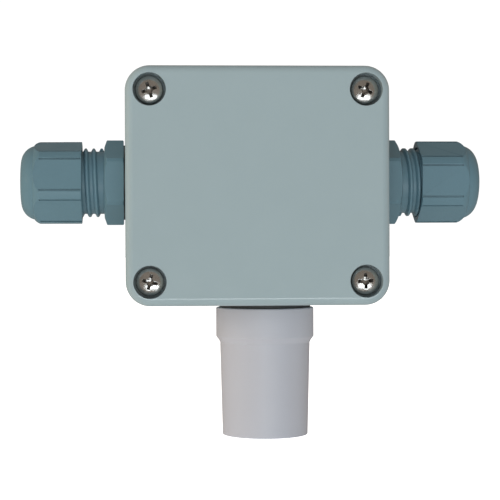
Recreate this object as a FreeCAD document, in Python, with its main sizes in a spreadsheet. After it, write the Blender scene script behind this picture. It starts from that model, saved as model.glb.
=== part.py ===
"""Weatherproof junction box with a cable gland on each side and a tapered pipe spigot below.

Row frame in millimetres: X runs from gland to gland, Z is up, and the wall that the box hangs on is the
plane Y = 0, so the box reaches forwards to negative Y. The origin is the centre of the box's back.
Every driving dimension is a cell of the sheet "Sizes", and the features read the cells as expressions.
"""

import FreeCAD, Part
import math
import os

import Sketcher

SIZES = [
    # the moulded box
    ("box_width", 64.0, "outside width, gland side to gland side"),
    ("box_height", 58.0, "outside height"),
    ("corner_radius", 6.0, "outside radius of the four upright corners"),
    ("lid_depth", 10.0, "depth of the lid, from the parting line to its face"),
    ("wall", 2.5, "thickness of the side walls"),
    ("floor_thickness", 2.5, "thickness of the back of the base"),
    ("lid_wall", 2.5, "thickness of the lid's face"),
    ("lid_edge_radius", 2.0, "rounding of the lid's front edge"),
    ("back_edge_radius", 1.0, "rounding of the base's back edge"),
    ("cavity_corner_radius", 1.5, "rounding of the cavity's own corners"),
    # the corner pillars and the holes in them
    ("screw_inset", 5.85, "lid screw's axis to the outside of the box, both ways"),
    ("block_reach", 6.3, "lid screw's axis to the cavity, which is the pillar's radius"),
    ("well_pitch", 8.5, "lid screw's axis to the axis of the wall screw beside it"),
    ("well_radius", 3.8, "room for the head of a wall screw"),
    ("wall_hole_radius", 2.2, "hole for the shank of a wall screw"),
    ("wall_seat_thickness", 4.0, "plastic under the head of a wall screw"),
    # the seal between the lid and the base
    ("groove_offset", 0.65, "cavity's edge to the near side of the seal groove"),
    ("groove_width", 1.2, "width of the seal groove"),
    ("groove_depth", 3.0, "depth of the seal groove"),
    ("gasket_thickness", 1.75, "depth of the rubber in the groove"),
    ("tongue_length", 1.2, "length of the lid's tongue in the groove"),
    ("tongue_gap", 0.08, "clearance on each side of the tongue and of the gasket"),
    # the lid screws, their inserts and retaining rings
    ("recess_gap", 0.6, "lid screw's head to the side of its recess"),
    ("recess_depth", 4.0, "depth of the lid's screw recess"),
    ("screw_radius", 1.95, "outside radius of the lid screw's thread"),
    ("screw_length", 15.0, "lid screw's seat to its tip"),
    ("screw_pitch", 0.7, "advance of a lid screw in one turn"),
    ("head_radius", 3.4, "radius of the lid screw's head"),
    ("head_height", 2.4, "height of the lid screw's head"),
    ("head_side", 1.0, "upright side of the head, below its dome"),
    ("cross_span", 4.3, "cross recess, tip to tip"),
    ("cross_slot", 0.95, "width of each arm of the cross"),
    ("cross_depth", 1.5, "depth of the cross recess"),
    ("lid_hole_gap", 0.25, "clearance round the screw in the lid"),
    ("insert_wall", 0.85, "lid screw to the outside of its brass insert"),
    ("insert_length", 6.0, "length of a brass insert"),
    ("insert_band_share", 0.38, "each knurled band's length, as a share of the insert's"),
    ("insert_waist_share", 0.88, "radius between the bands, as a share of the bands'"),
    ("insert_gap", 0.1, "clearance between a screw and its insert"),
    ("retainer_width", 0.85, "lid screw to the outside of its retaining ring"),
    ("retainer_thickness", 1.0, "thickness of a retaining ring"),
    ("retainer_rise", 0.2, "retaining ring to the insert below it"),
    ("retainer_gap", 0.3, "retaining ring to the side of its room"),
    ("retainer_pocket_lid", 4.4, "depth of that room in the lid"),
    ("retainer_pocket_base", 3.0, "depth of that room in the base"),
    ("turn_top_left", 18.0, "angle at which this screw's cross came to rest"),
    ("turn_top_right", -24.0, "angle at which this screw's cross came to rest"),
    ("turn_bottom_left", -13.0, "angle at which this screw's cross came to rest"),
    ("turn_bottom_right", 2.0, "angle at which this screw's cross came to rest"),
    # where the glands and the spigot enter
    ("locknut_room", 0.766, "inside of the back to the locknuts' corners"),
    ("entry_land", 0.85, "plastic between an entry hole and the seal groove"),
    ("gland_height", 1.45, "height of the glands' axis above the box's centre"),
    ("spigot_shift", 3.25, "spigot's axis to the right of the box's centre"),
    ("entry_radius", 7.6, "outside radius of the entry threads"),
    ("entry_length", 8.0, "length of an entry thread"),
    ("thread_lead", 0.5, "chamfer at the tip of an entry thread and of a lid screw"),
    ("entry_gap", 0.15, "clearance between an entry thread and the wall's hole"),
    ("locknut_wall", 1.38, "locknut's bore to its flats"),
    ("locknut_height", 4.5, "thickness of a locknut"),
    ("fit_gap", 0.02, "clearance between pieces that are pressed or screwed tight"),
    # the cable gland, measured outwards from the wall's outside
    ("washer_inset", 0.1, "sealing washer's edge, inside the hexagon's flats"),
    ("washer_thickness", 0.4, "thickness of the sealing washer"),
    ("gland_hex_height", 4.85, "thickness of the body's hexagon"),
    ("hex_corner_share", 0.563, "a hexagon's rounded corner radius, as a share of its flats"),
    ("hex_slope_reach", 1.7, "how far in from its corners a hexagon's face is turned down"),
    ("hex_slope_height", 0.5, "height of that slope, from the face"),
    ("thread_pitch", 2.0, "advance of the dome nut in one turn"),
    ("thread_length", 10.0, "length of the threaded sleeve"),
    ("seal_bore_radius", 4.0, "hole for the cable in the sealing insert"),
    ("seal_wall", 1.4, "thickness of the sealing insert"),
    ("gland_bore_gap", 0.2, "gland's way through, past the outside of the seal"),
    ("basket_wall", 1.5, "thickness of the clamping basket"),
    ("basket_length", 13.7, "length of the clamping basket"),
    ("basket_tip_wall", 0.55, "thickness of the basket at its tips"),
    ("basket_taper", 2.4, "length of the taper at the basket's tips"),
    ("basket_gap", 0.1, "clearance between the basket and the gland's body"),
    ("sleeve_wall", 0.88, "thickness of the threaded sleeve, under its thread"),
    ("thread_depth", 0.8, "height of the sleeve's thread"),
    ("thread_sink", 0.055, "foot of the thread, inside the sleeve's outside"),
    ("thread_tail", 0.3, "end of the thread to the end of the sleeve"),
    ("finger_length", 9.6, "length of the slots between the basket's fingers"),
    ("finger_slot", 0.8, "width of the slots between the basket's fingers"),
    ("seal_length", 13.1, "length of the sealing insert"),
    ("seal_sink", 0.2, "tips of the basket to the end of the sealing insert"),
    ("seal_lead", 0.5, "chamfer at both ends of the sealing insert's bore"),
    ("nut_start", 10.9, "dome nut's rim to the wall, at rest"),
    ("nut_length", 15.2, "length of the dome nut"),
    ("nut_gap", 0.12, "clearance between the nut's bore and the thread's crest"),
    ("nut_wall", 0.7, "nut's bore to its flats"),
    ("nut_rib_height", 0.9, "nut's six corner ribs, above its flats"),
    ("nut_rim_chamfer", 0.15, "chamfer of the nut's rim"),
    ("nut_grip_length", 10.4, "length of the nut's flats and ribs, to their run-out"),
    ("nut_shoulder_drop", 0.25, "nut's flats to the radius at which its dome begins"),
    ("nut_run_out", 1.5, "length over which the ribs run out to the dome"),
    ("nut_run_out_drop", 0.05, "nut's flats to the radius at which the ribs have run out"),
    ("nut_dome_height", 3.2, "height of the nut's dome"),
    ("nut_dome_radius", 4.2, "radius of the arc that rounds the dome"),
    ("nut_mouth_gap", 0.35, "cable to the nut's mouth"),
    ("nut_mouth_rounding", 0.3, "rounding of the mouth's edge"),
    ("nut_end_wall", 1.6, "thickness of the nut's end"),
    ("nut_bore_length", 9.8, "straight bore of the nut"),
    ("nut_cone_gap", 0.3, "tip of the basket to the nut's cone"),
    ("nut_groove", 0.25, "depth of the fine grooves beside each rib"),
    ("nut_groove_width", 0.4, "width of those grooves"),
    ("left_nut_turn", 11.0, "angle at which the left nut came to rest"),
    ("right_nut_turn", 0.0, "angle at which the right nut came to rest"),
    ("left_nut_advance", 0.0, "how much further in the left nut came to rest"),
    ("right_nut_advance", 0.75, "how much further in the right nut came to rest"),
    # the spigot, measured down from the underside of the box
    ("spigot_washer_inset", 0.85, "washer's edge, inside the collar's edge"),
    ("spigot_washer_thickness", 1.2, "thickness of the spigot's washer"),
    ("collar_radius", 12.4, "radius of the spigot's collar"),
    ("collar_end", 9.1, "underside of the box to the collar's lower edge"),
    ("collar_chamfer", 1.0, "slope below the collar"),
    ("spigot_top_radius", 11.4, "radius of the spigot just below the collar"),
    ("spigot_end_radius", 10.8, "radius of the spigot at its end"),
    ("spigot_end", 33.5, "underside of the box to the spigot's end"),
    ("spigot_bore_radius", 9.0, "bore of the spigot"),
    ("spigot_roof", 3.0, "plastic above the spigot's bore"),
    ("neck_bore_radius", 5.8, "bore of the spigot's neck"),
    # the terminal strip
    ("strip_height", 1.0, "height of the strip's centre above the box's centre"),
    ("standoff_radius", 3.0, "radius of the posts under the strip"),
    ("standoff_height", 3.0, "height of the posts under the strip"),
    ("pole_pitch", 8.0, "one pole of the strip to the next"),
    ("strip_width", 16.5, "strip from wire entry to wire entry"),
    ("strip_depth", 12.5, "strip from the posts to its front"),
    ("strip_notch_width", 1.4, "gap between the shoulders of two poles"),
    ("strip_notch_length", 4.6, "length of that gap from each side"),
    ("strip_notch_floor", 2.0, "strip's back to the bottom of that gap"),
    ("barrel_size", 5.0, "brass barrel, across its square section"),
    ("barrel_length", 13.5, "length of a brass barrel"),
    ("barrel_floor", 2.4, "strip's back to the barrel"),
    ("barrel_gap", 0.05, "clearance round a barrel in the strip"),
    ("wire_bore_radius", 1.75, "hole for a wire in a barrel"),
    ("wire_funnel_gap", 0.55, "wire hole of the strip, beyond the barrel's wire bore"),
    ("clamp_spacing", 7.4, "between the two clamp screws of a pole"),
    ("clamp_radius", 1.45, "outside radius of a clamp screw's thread"),
    ("clamp_length", 3.3, "length of a clamp screw's thread"),
    ("clamp_lead", 0.3, "chamfer at a clamp screw's tip and round its head"),
    ("clamp_pitch", 0.5, "advance of a clamp screw in one turn"),
    ("clamp_head_radius", 1.85, "radius of a clamp screw's head"),
    ("clamp_head_height", 1.6, "height of a clamp screw's head"),
    ("clamp_head_rise", 1.8, "barrel to the clamp screw's head, at rest"),
    ("clamp_slot_width", 0.6, "screwdriver slot of a clamp screw"),
    ("clamp_slot_depth", 0.8, "depth of that slot"),
    ("clamp_gap", 0.08, "clearance round a clamp screw in its barrel"),
    ("clamp_well_gap", 0.3, "clamp screw's head to the well round it"),
    ("pad_radius", 0.95, "wire guard pad under a clamp screw"),
    ("pad_thickness", 0.3, "thickness of the wire guard pad"),
    ("pad_gap", 0.03, "clearance between a clamp screw and its pad"),
    ("fixing_radius", 1.0, "outside radius of a screw that holds the strip"),
    ("fixing_head_radius", 2.3, "head of a screw that holds the strip"),
    ("fixing_head_height", 1.6, "height of that head"),
    ("fixing_seat_rise", 0.8, "barrels' front to the seat of that head"),
    ("fixing_bite", 4.5, "how far that screw reaches into its post"),
    ("fixing_tip_gap", 0.5, "bottom of its hole to the tip of that screw"),
    ("fixing_hole_gap", 0.15, "clearance round that screw in the strip"),
    ("fixing_well_gap", 0.2, "that head to the well round it"),
]

FINGERS = 8
POLES = 3
HEX_CORNERS = 6
ACROSS_CORNERS = 1 / math.sqrt(3)  # hexagon's corner radius, as a share of its width across flats
THREAD_CREST_SHARE = 0.28  # thread's crest and root widths, as shares of its pitch
THREAD_ROOT_SHARE = 0.72
CROSS_TAPER = -8.0  # degrees by which a cross recess narrows on each side
NOTCH_OVERRUN = 0.5  # how far a cut reaches past the face it opens
NEARLY_ZERO = 1e-9
SAME_PLACE = 1e-4
COSINE_DIGITS = 12
LEFT, RIGHT = -1, 1
BOTTOM, TOP = -1, 1
CORNERS = {
    "top_left": (LEFT, TOP),
    "top_right": (RIGHT, TOP),
    "bottom_left": (LEFT, BOTTOM),
    "bottom_right": (RIGHT, BOTTOM),
}
WELL_CORNERS = ("top_right", "bottom_left")  # these pillars also hold a wall screw


class Size:
    """A number that knows the sheet expression it comes from."""

    def __init__(self, value, text):
        self.value = value
        self.text = text

    def joined(self, sign, other, value):
        """The sum or product with another size or a plain number."""
        text = other.text if isinstance(other, Size) else f"{other:.9g}"
        return Size(value, f"({self.text} {sign} {text})")

    def __add__(self, other):
        return self.joined("+", other, self.value + number(other))

    def __sub__(self, other):
        return self.joined("-", other, self.value - number(other))

    def __mul__(self, other):
        return self.joined("*", other, self.value * number(other))

    def __truediv__(self, other):
        return self.joined("/", other, self.value / number(other))

    def __neg__(self):
        return Size(-self.value, f"(-1 * {self.text})")

    def __rmul__(self, other):
        return self * other


def number(value):
    """The plain number of a size or a number."""
    return value.value if isinstance(value, Size) else value


def square_root(size):
    """The square root of a size."""
    return Size(math.sqrt(size.value), f"sqrt({size.text})")


ZERO = Size(0.0, "0")


def fill_sheet(doc):
    """Makes the sheet and returns its cells as sizes, by name."""
    sheet = doc.addObject("Spreadsheet::Sheet", "Sizes")
    cells = {}
    for row, (name, value, note) in enumerate(SIZES, start=1):
        sheet.set(f"A{row}", name)
        sheet.set(f"B{row}", f"{value:g}")
        sheet.set(f"C{row}", note)
        sheet.setAlias(f"B{row}", name)
        cells[name] = Size(value, f"Sizes.{name}")
    return cells


DOC = FreeCAD.newDocument("JunctionBox")
CELL = fill_sheet(DOC)
DOC.recompute()


def cell(name):
    """One driving dimension."""
    return CELL[name]


def bind(item, path, size):
    """Sets one property of a document object from a size."""
    if isinstance(size, Size):
        item.setExpression(path, size.text)
    else:
        item.setExpression(path, f"{size:.9g}")


def place(item, base, rotation=None):
    """Puts an object at a place given in sizes, turned by an optional rotation."""
    item.Placement = FreeCAD.Placement(
        FreeCAD.Vector(*(number(value) for value in base)), rotation or FreeCAD.Rotation()
    )
    for axis, value in zip("xyz", base):
        if isinstance(value, Size):
            bind(item, f"Placement.Base.{axis}", value)


# ---------------------------------------------------------------------------------------------------
# Sketches
# ---------------------------------------------------------------------------------------------------

X_AXIS, Y_AXIS, ORIGIN = -1, -2, -1
START, END, CENTRE = 1, 2, 3


def new_body(label):
    """An empty PartDesign body."""
    body = DOC.addObject("PartDesign::Body", label)
    body.Label = label
    return body


def new_sketch(body, name, role, offset=None):
    """A sketch on one of the body's origin planes, moved along the plane's normal by offset."""
    sketch = body.newObject("Sketcher::SketchObject", name)
    plane = next(item for item in body.Origin.OriginFeatures if item.Role == role)
    sketch.AttachmentSupport = (plane, [""])
    sketch.MapMode = "FlatFace"
    if offset is not None:
        bind(sketch, "AttachmentOffset.Base.z", offset)
    return sketch


def pin_point(sketch, shape, end, x, y):
    """Fixes a point of a sketch's line, arc or circle at (x, y)."""
    for kind, axis, value in (("DistanceX", Y_AXIS, x), ("DistanceY", X_AXIS, y)):
        if abs(number(value)) < NEARLY_ZERO:
            sketch.addConstraint(Sketcher.Constraint("PointOnObject", shape, end, axis))
            continue
        index = sketch.addConstraint(
            Sketcher.Constraint(kind, ORIGIN, START, shape, end, number(value))
        )
        bind(sketch, f"Constraints[{index}]", value)


def size_radius(sketch, shape, radius):
    """Gives a sketch's circle or arc its radius."""
    index = sketch.addConstraint(Sketcher.Constraint("Radius", shape, number(radius)))
    bind(sketch, f"Constraints[{index}]", radius)


def draw_circle(sketch, x, y, radius):
    """A circle with its centre at (x, y)."""
    centre = FreeCAD.Vector(number(x), number(y), 0)
    shape = sketch.addGeometry(Part.Circle(centre, FreeCAD.Vector(0, 0, 1), number(radius)))
    pin_point(sketch, shape, CENTRE, x, y)
    size_radius(sketch, shape, radius)


def arc_between(start, end, radius):
    """The short arc from start to end, anticlockwise for a positive radius and else clockwise."""
    chord = end - start
    middle = (start + end) * 0.5
    height = math.sqrt(max(radius * radius - chord.Length ** 2 / 4, 0))
    side = FreeCAD.Vector(-chord.y, chord.x, 0).normalize()
    centre = middle + side * math.copysign(height, radius)
    first, last = (start, end) if radius > 0 else (end, start)
    angles = [math.atan2(point.y - centre.y, point.x - centre.x) for point in (first, last)]
    circle = Part.Circle(centre, FreeCAD.Vector(0, 0, 1), abs(radius))
    return Part.ArcOfCircle(circle, *angles)


def draw_profile(sketch, vertices):
    """A closed outline through vertices (x, y), where (x, y, radius) starts an arc instead of a line."""
    points = [FreeCAD.Vector(number(v[0]), number(v[1]), 0) for v in vertices]
    ends = []
    for index, vertex in enumerate(vertices):
        start, end = points[index], points[(index + 1) % len(points)]
        if len(vertex) == 2:
            shape = sketch.addGeometry(Part.LineSegment(start, end))
            ends.append((shape, START, END))
            continue
        radius = number(vertex[2])
        shape = sketch.addGeometry(arc_between(start, end, radius))
        ends.append((shape, START, END) if radius > 0 else (shape, END, START))
    for index, (shape, _, last) in enumerate(ends):
        after, after_first, _ = ends[(index + 1) % len(ends)]
        sketch.addConstraint(Sketcher.Constraint("Coincident", shape, last, after, after_first))
    for (shape, first, last), vertex in zip(ends, vertices):
        pin_point(sketch, shape, first, vertex[0], vertex[1])
        if len(vertex) == 3:
            bulge = vertex[2]
            size_radius(sketch, shape, bulge if number(bulge) > 0 else -bulge)


def draw_rounded(sketch, corners):
    """A closed outline of upright and level lines, with corners (x, y, radius) rounded in turn."""
    count = len(corners)
    places = [FreeCAD.Vector(number(x), number(y), 0) for x, y, _ in corners]
    entries, exits, arcs, lines = [], [], [], []
    for index, here in enumerate(places):
        before, after = places[index - 1], places[(index + 1) % count]
        radius = number(corners[index][2])
        entries.append(here + (before - here).normalize() * radius)
        exits.append(here + (after - here).normalize() * radius)
    for index, here in enumerate(places):
        start, end = entries[index], exits[index]
        turn = (here - start).cross(end - here).z
        radius = math.copysign(number(corners[index][2]), turn)
        shape = sketch.addGeometry(arc_between(start, end, radius))
        arcs.append((shape, START, END) if turn > 0 else (shape, END, START))
        lines.append(sketch.addGeometry(Part.LineSegment(end, entries[(index + 1) % count])))
    for index, line in enumerate(lines):
        arc, _, arc_last = arcs[index]
        after, after_first, _ = arcs[(index + 1) % count]
        sketch.addConstraint(Sketcher.Constraint("Tangent", arc, arc_last, line, START))
        sketch.addConstraint(Sketcher.Constraint("Tangent", line, END, after, after_first))
        here, there = places[index], places[(index + 1) % count]
        level = abs(here.y - there.y) < abs(here.x - there.x)
        sketch.addConstraint(Sketcher.Constraint("Horizontal" if level else "Vertical", line))
        kind, value = ("DistanceY", corners[index][1]) if level else ("DistanceX", corners[index][0])
        datum = sketch.addConstraint(
            Sketcher.Constraint(kind, ORIGIN, START, line, START, number(value))
        )
        bind(sketch, f"Constraints[{datum}]", value)
    for (arc, _, _), corner in zip(arcs, corners):
        size_radius(sketch, arc, corner[2])


def draw_rectangle(sketch, x, y, width, height):
    """A rectangle with its centre at (x, y)."""
    draw_profile(
        sketch,
        [
            (x - width / 2, y - height / 2),
            (x + width / 2, y - height / 2),
            (x + width / 2, y + height / 2),
            (x - width / 2, y + height / 2),
        ],
    )


def draw_hexagon(sketch, flats, upright=False):
    """A regular hexagon about the origin, with two corners on the level or on the upright axis."""
    vertices = []
    for corner in range(HEX_CORNERS):
        angle = 2 * math.pi * corner / HEX_CORNERS + (math.pi / 2 if upright else 0)
        reach = ACROSS_CORNERS * flats
        x, y = (round(share, COSINE_DIGITS) for share in (math.cos(angle), math.sin(angle)))
        vertices.append((reach * x, reach * y))
    draw_profile(sketch, vertices)


# ---------------------------------------------------------------------------------------------------
# Features
# ---------------------------------------------------------------------------------------------------


def checked(feature, before, removes):
    """Recomputes a feature and stops if it did nothing to the solid."""
    DOC.recompute()
    after = feature.Shape.Volume
    if removes and not after < before:
        raise RuntimeError(f"{feature.Label} removes nothing")
    if not removes and not after > before:
        raise RuntimeError(f"{feature.Label} adds nothing")
    return feature


def volume_of(body):
    """The body's present volume."""
    return body.Shape.Volume if body.Tip and not body.Shape.isNull() else 0.0


def pad(body, name, sketch, length, backwards=False):
    """Extrudes a sketch along its plane's normal, or against it."""
    before = volume_of(body)
    feature = body.newObject("PartDesign::Pad", name)
    feature.Profile = sketch
    feature.Reversed = backwards
    bind(feature, "Length", length)
    return checked(feature, before, removes=False)


def pocket(body, name, sketch, depth=None, upwards=False, both_ways=False, taper=None):
    """Cuts a sketch against its plane's normal, or along it; with no depth it cuts through all."""
    before = volume_of(body)
    feature = body.newObject("PartDesign::Pocket", name)
    feature.Profile = sketch
    feature.Reversed = upwards
    feature.Midplane = both_ways
    if depth is None:
        feature.Type = "ThroughAll"
    else:
        bind(feature, "Length", depth)
    if taper is not None:
        feature.TaperAngle = taper
    return checked(feature, before, removes=True)


def turn(body, name, sketch):
    """Turns a sketch about its own upright axis."""
    before = volume_of(body)
    feature = body.newObject("PartDesign::Revolution", name)
    feature.Profile = sketch
    feature.ReferenceAxis = (sketch, ["V_Axis"])
    feature.Angle = 360
    return checked(feature, before, removes=False)


def repeat_round(body, name, feature, count):
    """Repeats a feature round the body's Z axis."""
    before = volume_of(body)
    pattern = body.newObject("PartDesign::PolarPattern", name)
    pattern.Originals = [feature]
    axis = next(item for item in body.Origin.OriginFeatures if item.Role == "Z_Axis")
    pattern.Axis = (axis, [""])
    pattern.Angle = 360
    pattern.Occurrences = count
    body.Tip = pattern
    return checked(pattern, before, removes=True)


def round_edges(body, name, radius, wanted):
    """Rounds the edges of the body that the test wanted picks out."""
    before = volume_of(body)
    base = body.Tip
    names = [
        f"Edge{index}" for index, edge in enumerate(base.Shape.Edges, start=1) if wanted(edge)
    ]
    feature = body.newObject("PartDesign::Fillet", name)
    feature.Base = (base, names)
    bind(feature, "Radius", radius)
    return checked(feature, before, removes=True)


def lies_at_y(y):
    """A test for edges that lie all along one plane square to Y."""

    def test(edge):
        box = edge.BoundBox
        return abs(box.YMin - y) < SAME_PLACE and abs(box.YMax - y) < SAME_PLACE

    return test


def turned_body(label, vertices):
    """A body of revolution about its own Z axis, from an outline of (radius, height) vertices."""
    body = new_body(label)
    sketch = new_sketch(body, f"{label}_section", "XZ_Plane")
    draw_profile(sketch, vertices)
    turn(body, f"{label}_turned", sketch)
    return body


# ---------------------------------------------------------------------------------------------------
# Places that several pieces share
# ---------------------------------------------------------------------------------------------------

HALF_WIDTH = cell("box_width") / 2
HALF_HEIGHT = cell("box_height") / 2
ENTRY_HOLE = cell("entry_radius") + cell("entry_gap")
NECK_BORE = cell("entry_radius") + cell("fit_gap")
HALF_LOCKNUT = NECK_BORE + cell("locknut_wall")
LOCKNUT_CORNER = HALF_LOCKNUT * 2 * cell("hex_corner_share")
AXIS_DEPTH = cell("floor_thickness") + cell("locknut_room") + LOCKNUT_CORNER
PARTING = AXIS_DEPTH + ENTRY_HOLE + cell("entry_land") + cell("groove_depth")
BOX_DEPTH = PARTING + cell("lid_depth")
SCREW_X = HALF_WIDTH - cell("screw_inset")
SCREW_Z = HALF_HEIGHT - cell("screw_inset")
WELL_X = SCREW_X - cell("well_pitch")
SEAT_DEPTH = BOX_DEPTH - cell("recess_depth")
INSERT_TOP = PARTING - cell("retainer_pocket_base")
INSERT_RADIUS = cell("screw_radius") + cell("insert_wall")
RETAINER_RADIUS = cell("screw_radius") + cell("retainer_width")
RETAINER_ROOM = RETAINER_RADIUS + cell("retainer_gap")
STRIP_BACK = cell("floor_thickness") + cell("standoff_height")
FORWARDS = FreeCAD.Rotation(FreeCAD.Vector(1, 0, 0), 90)  # takes Z to the front, which is -Y
OUTWARDS = {
    LEFT: FreeCAD.Rotation(FreeCAD.Vector(0, 1, 0), -90),
    RIGHT: FreeCAD.Rotation(FreeCAD.Vector(0, 1, 0), 90),
}


def about_z(angle):
    """A turn about the Z axis."""
    return FreeCAD.Rotation(FreeCAD.Vector(0, 0, 1), number(angle))


def case_outline():
    """Corners of the box's outside."""
    radius = cell("corner_radius")
    return [
        (side * HALF_WIDTH, level * HALF_HEIGHT, radius)
        for side, level in ((LEFT, BOTTOM), (RIGHT, BOTTOM), (RIGHT, TOP), (LEFT, TOP))
    ]


def block_edge(corner):
    """How far from the centre a corner's solid block begins, sideways."""
    axis = WELL_X if corner in WELL_CORNERS else SCREW_X
    return axis - cell("block_reach")


def cavity_outline(grow):
    """Corners of the cavity, which steps inside the four corner blocks, moved outwards by grow."""
    across = HALF_WIDTH - cell("wall") + grow
    up = HALF_HEIGHT - cell("wall") + grow
    step = SCREW_Z - cell("block_reach") + grow
    hollow = cell("cavity_corner_radius") + grow
    pillar = cell("block_reach") - grow
    outline = []
    for corner in ("bottom_left", "bottom_right", "top_right", "top_left"):
        side, level = CORNERS[corner]
        edge = block_edge(corner) + grow
        stepped = [
            (side * across, level * step, hollow),
            (side * edge, level * step, pillar),
            (side * edge, level * up, hollow),
        ]
        outline += stepped if side == level else stepped[::-1]
    return outline


def draw_screw_circles(sketch, radius):
    """A circle round each lid screw's axis."""
    for side, level in CORNERS.values():
        draw_circle(sketch, side * SCREW_X, level * SCREW_Z, radius)


def draw_well_circles(sketch, radius):
    """A circle round each wall screw's axis."""
    for corner in WELL_CORNERS:
        side, level = CORNERS[corner]
        draw_circle(sketch, side * WELL_X, level * SCREW_Z, radius)


def fixing_heights():
    """Heights of the two screws that hold the strip, each between two poles."""
    return [cell("strip_height") + cell("pole_pitch") * share for share in (-0.5, 0.5)]


def pole_heights():
    """Heights of the strip's poles."""
    return [
        cell("strip_height") + cell("pole_pitch") * (pole - (POLES - 1) / 2)
        for pole in range(POLES)
    ]


# ---------------------------------------------------------------------------------------------------
# The box
# ---------------------------------------------------------------------------------------------------


def box_base():
    """The base: a tray with corner pillars, a seal groove, three round entries and two posts."""
    body = new_body("box_base")
    outline = new_sketch(body, "base_outline", "XZ_Plane")
    draw_rounded(outline, case_outline())
    pad(body, "base_block", outline, PARTING)
    round_edges(body, "base_back_edge", cell("back_edge_radius"), lies_at_y(0))

    cavity = new_sketch(body, "base_cavity_outline", "XZ_Plane", PARTING)
    draw_rounded(cavity, cavity_outline(ZERO))
    pocket(body, "base_cavity", cavity, PARTING - cell("floor_thickness"))

    groove = new_sketch(body, "base_groove_outline", "XZ_Plane", PARTING)
    draw_rounded(groove, cavity_outline(cell("groove_offset")))
    draw_rounded(groove, cavity_outline(cell("groove_offset") + cell("groove_width")))
    pocket(body, "base_seal_groove", groove, cell("groove_depth"))

    rings = new_sketch(body, "base_ring_rooms", "XZ_Plane", PARTING)
    draw_screw_circles(rings, RETAINER_ROOM)
    pocket(body, "base_retainer_rooms", rings, cell("retainer_pocket_base"))

    inserts = new_sketch(body, "base_insert_circles", "XZ_Plane", PARTING)
    draw_screw_circles(inserts, INSERT_RADIUS + cell("fit_gap"))
    pocket(
        body,
        "base_insert_holes",
        inserts,
        cell("retainer_pocket_base") + cell("insert_length") + cell("fit_gap"),
    )

    wells = new_sketch(body, "base_well_circles", "XZ_Plane", PARTING)
    draw_well_circles(wells, cell("well_radius"))
    pocket(body, "base_wall_screw_wells", wells, PARTING - cell("wall_seat_thickness"))

    holes = new_sketch(body, "base_wall_hole_circles", "XZ_Plane", PARTING)
    draw_well_circles(holes, cell("wall_hole_radius"))
    pocket(body, "base_wall_screw_holes", holes)

    glands = new_sketch(body, "base_gland_circle", "YZ_Plane")
    draw_circle(glands, -AXIS_DEPTH, cell("gland_height"), ENTRY_HOLE)
    pocket(body, "base_gland_entries", glands, both_ways=True)

    spigot = new_sketch(body, "base_spigot_circle", "XY_Plane")
    draw_circle(spigot, cell("spigot_shift"), -AXIS_DEPTH, ENTRY_HOLE)
    pocket(body, "base_spigot_entry", spigot)

    posts = new_sketch(body, "base_post_circles", "XZ_Plane", cell("floor_thickness"))
    for height in fixing_heights():
        draw_circle(posts, ZERO, height, cell("standoff_radius"))
    pad(body, "base_posts", posts, cell("standoff_height"))

    pilots = new_sketch(body, "base_pilot_circles", "XZ_Plane", STRIP_BACK)
    for height in fixing_heights():
        draw_circle(pilots, ZERO, height, cell("fixing_radius") + cell("fit_gap"))
    pocket(body, "base_pilot_holes", pilots, cell("fixing_bite"))
    return body


def lid():
    """The lid: a shallow shell with four screw recesses and a tongue for the seal groove."""
    body = new_body("lid")
    outline = new_sketch(body, "lid_outline", "XZ_Plane", PARTING)
    draw_rounded(outline, case_outline())
    pad(body, "lid_block", outline, cell("lid_depth"))
    round_edges(body, "lid_front_edge", cell("lid_edge_radius"), lies_at_y(-number(BOX_DEPTH)))

    cavity = new_sketch(body, "lid_cavity_outline", "XZ_Plane", PARTING)
    draw_rounded(cavity, cavity_outline(ZERO))
    pocket(body, "lid_cavity", cavity, cell("lid_depth") - cell("lid_wall"), upwards=True)

    tongue = new_sketch(body, "lid_tongue_outline", "XZ_Plane", PARTING)
    near = cell("groove_offset") + cell("tongue_gap")
    far = cell("groove_offset") + cell("groove_width") - cell("tongue_gap")
    draw_rounded(tongue, cavity_outline(near))
    draw_rounded(tongue, cavity_outline(far))
    pad(body, "lid_tongue", tongue, cell("tongue_length"), backwards=True)

    recesses = new_sketch(body, "lid_recess_circles", "XZ_Plane", BOX_DEPTH)
    draw_screw_circles(recesses, cell("head_radius") + cell("recess_gap"))
    pocket(body, "lid_screw_recesses", recesses, cell("recess_depth"))

    holes = new_sketch(body, "lid_hole_circles", "XZ_Plane", BOX_DEPTH)
    draw_screw_circles(holes, cell("screw_radius") + cell("lid_hole_gap"))
    pocket(body, "lid_screw_holes", holes)

    rings = new_sketch(body, "lid_ring_rooms", "XZ_Plane", PARTING)
    draw_screw_circles(rings, RETAINER_ROOM)
    pocket(body, "lid_retainer_rooms", rings, cell("retainer_pocket_lid"), upwards=True)
    return body


def lid_gasket():
    """The rubber ring at the bottom of the seal groove."""
    body = new_body("lid_gasket")
    ring = new_sketch(body, "gasket_outline", "XZ_Plane", PARTING - cell("groove_depth"))
    near = cell("groove_offset") + cell("tongue_gap")
    far = cell("groove_offset") + cell("groove_width") - cell("tongue_gap")
    draw_rounded(ring, cavity_outline(near))
    draw_rounded(ring, cavity_outline(far))
    pad(body, "gasket_ring", ring, cell("gasket_thickness"))
    return body


# ---------------------------------------------------------------------------------------------------
# Lid screws
# ---------------------------------------------------------------------------------------------------


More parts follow.
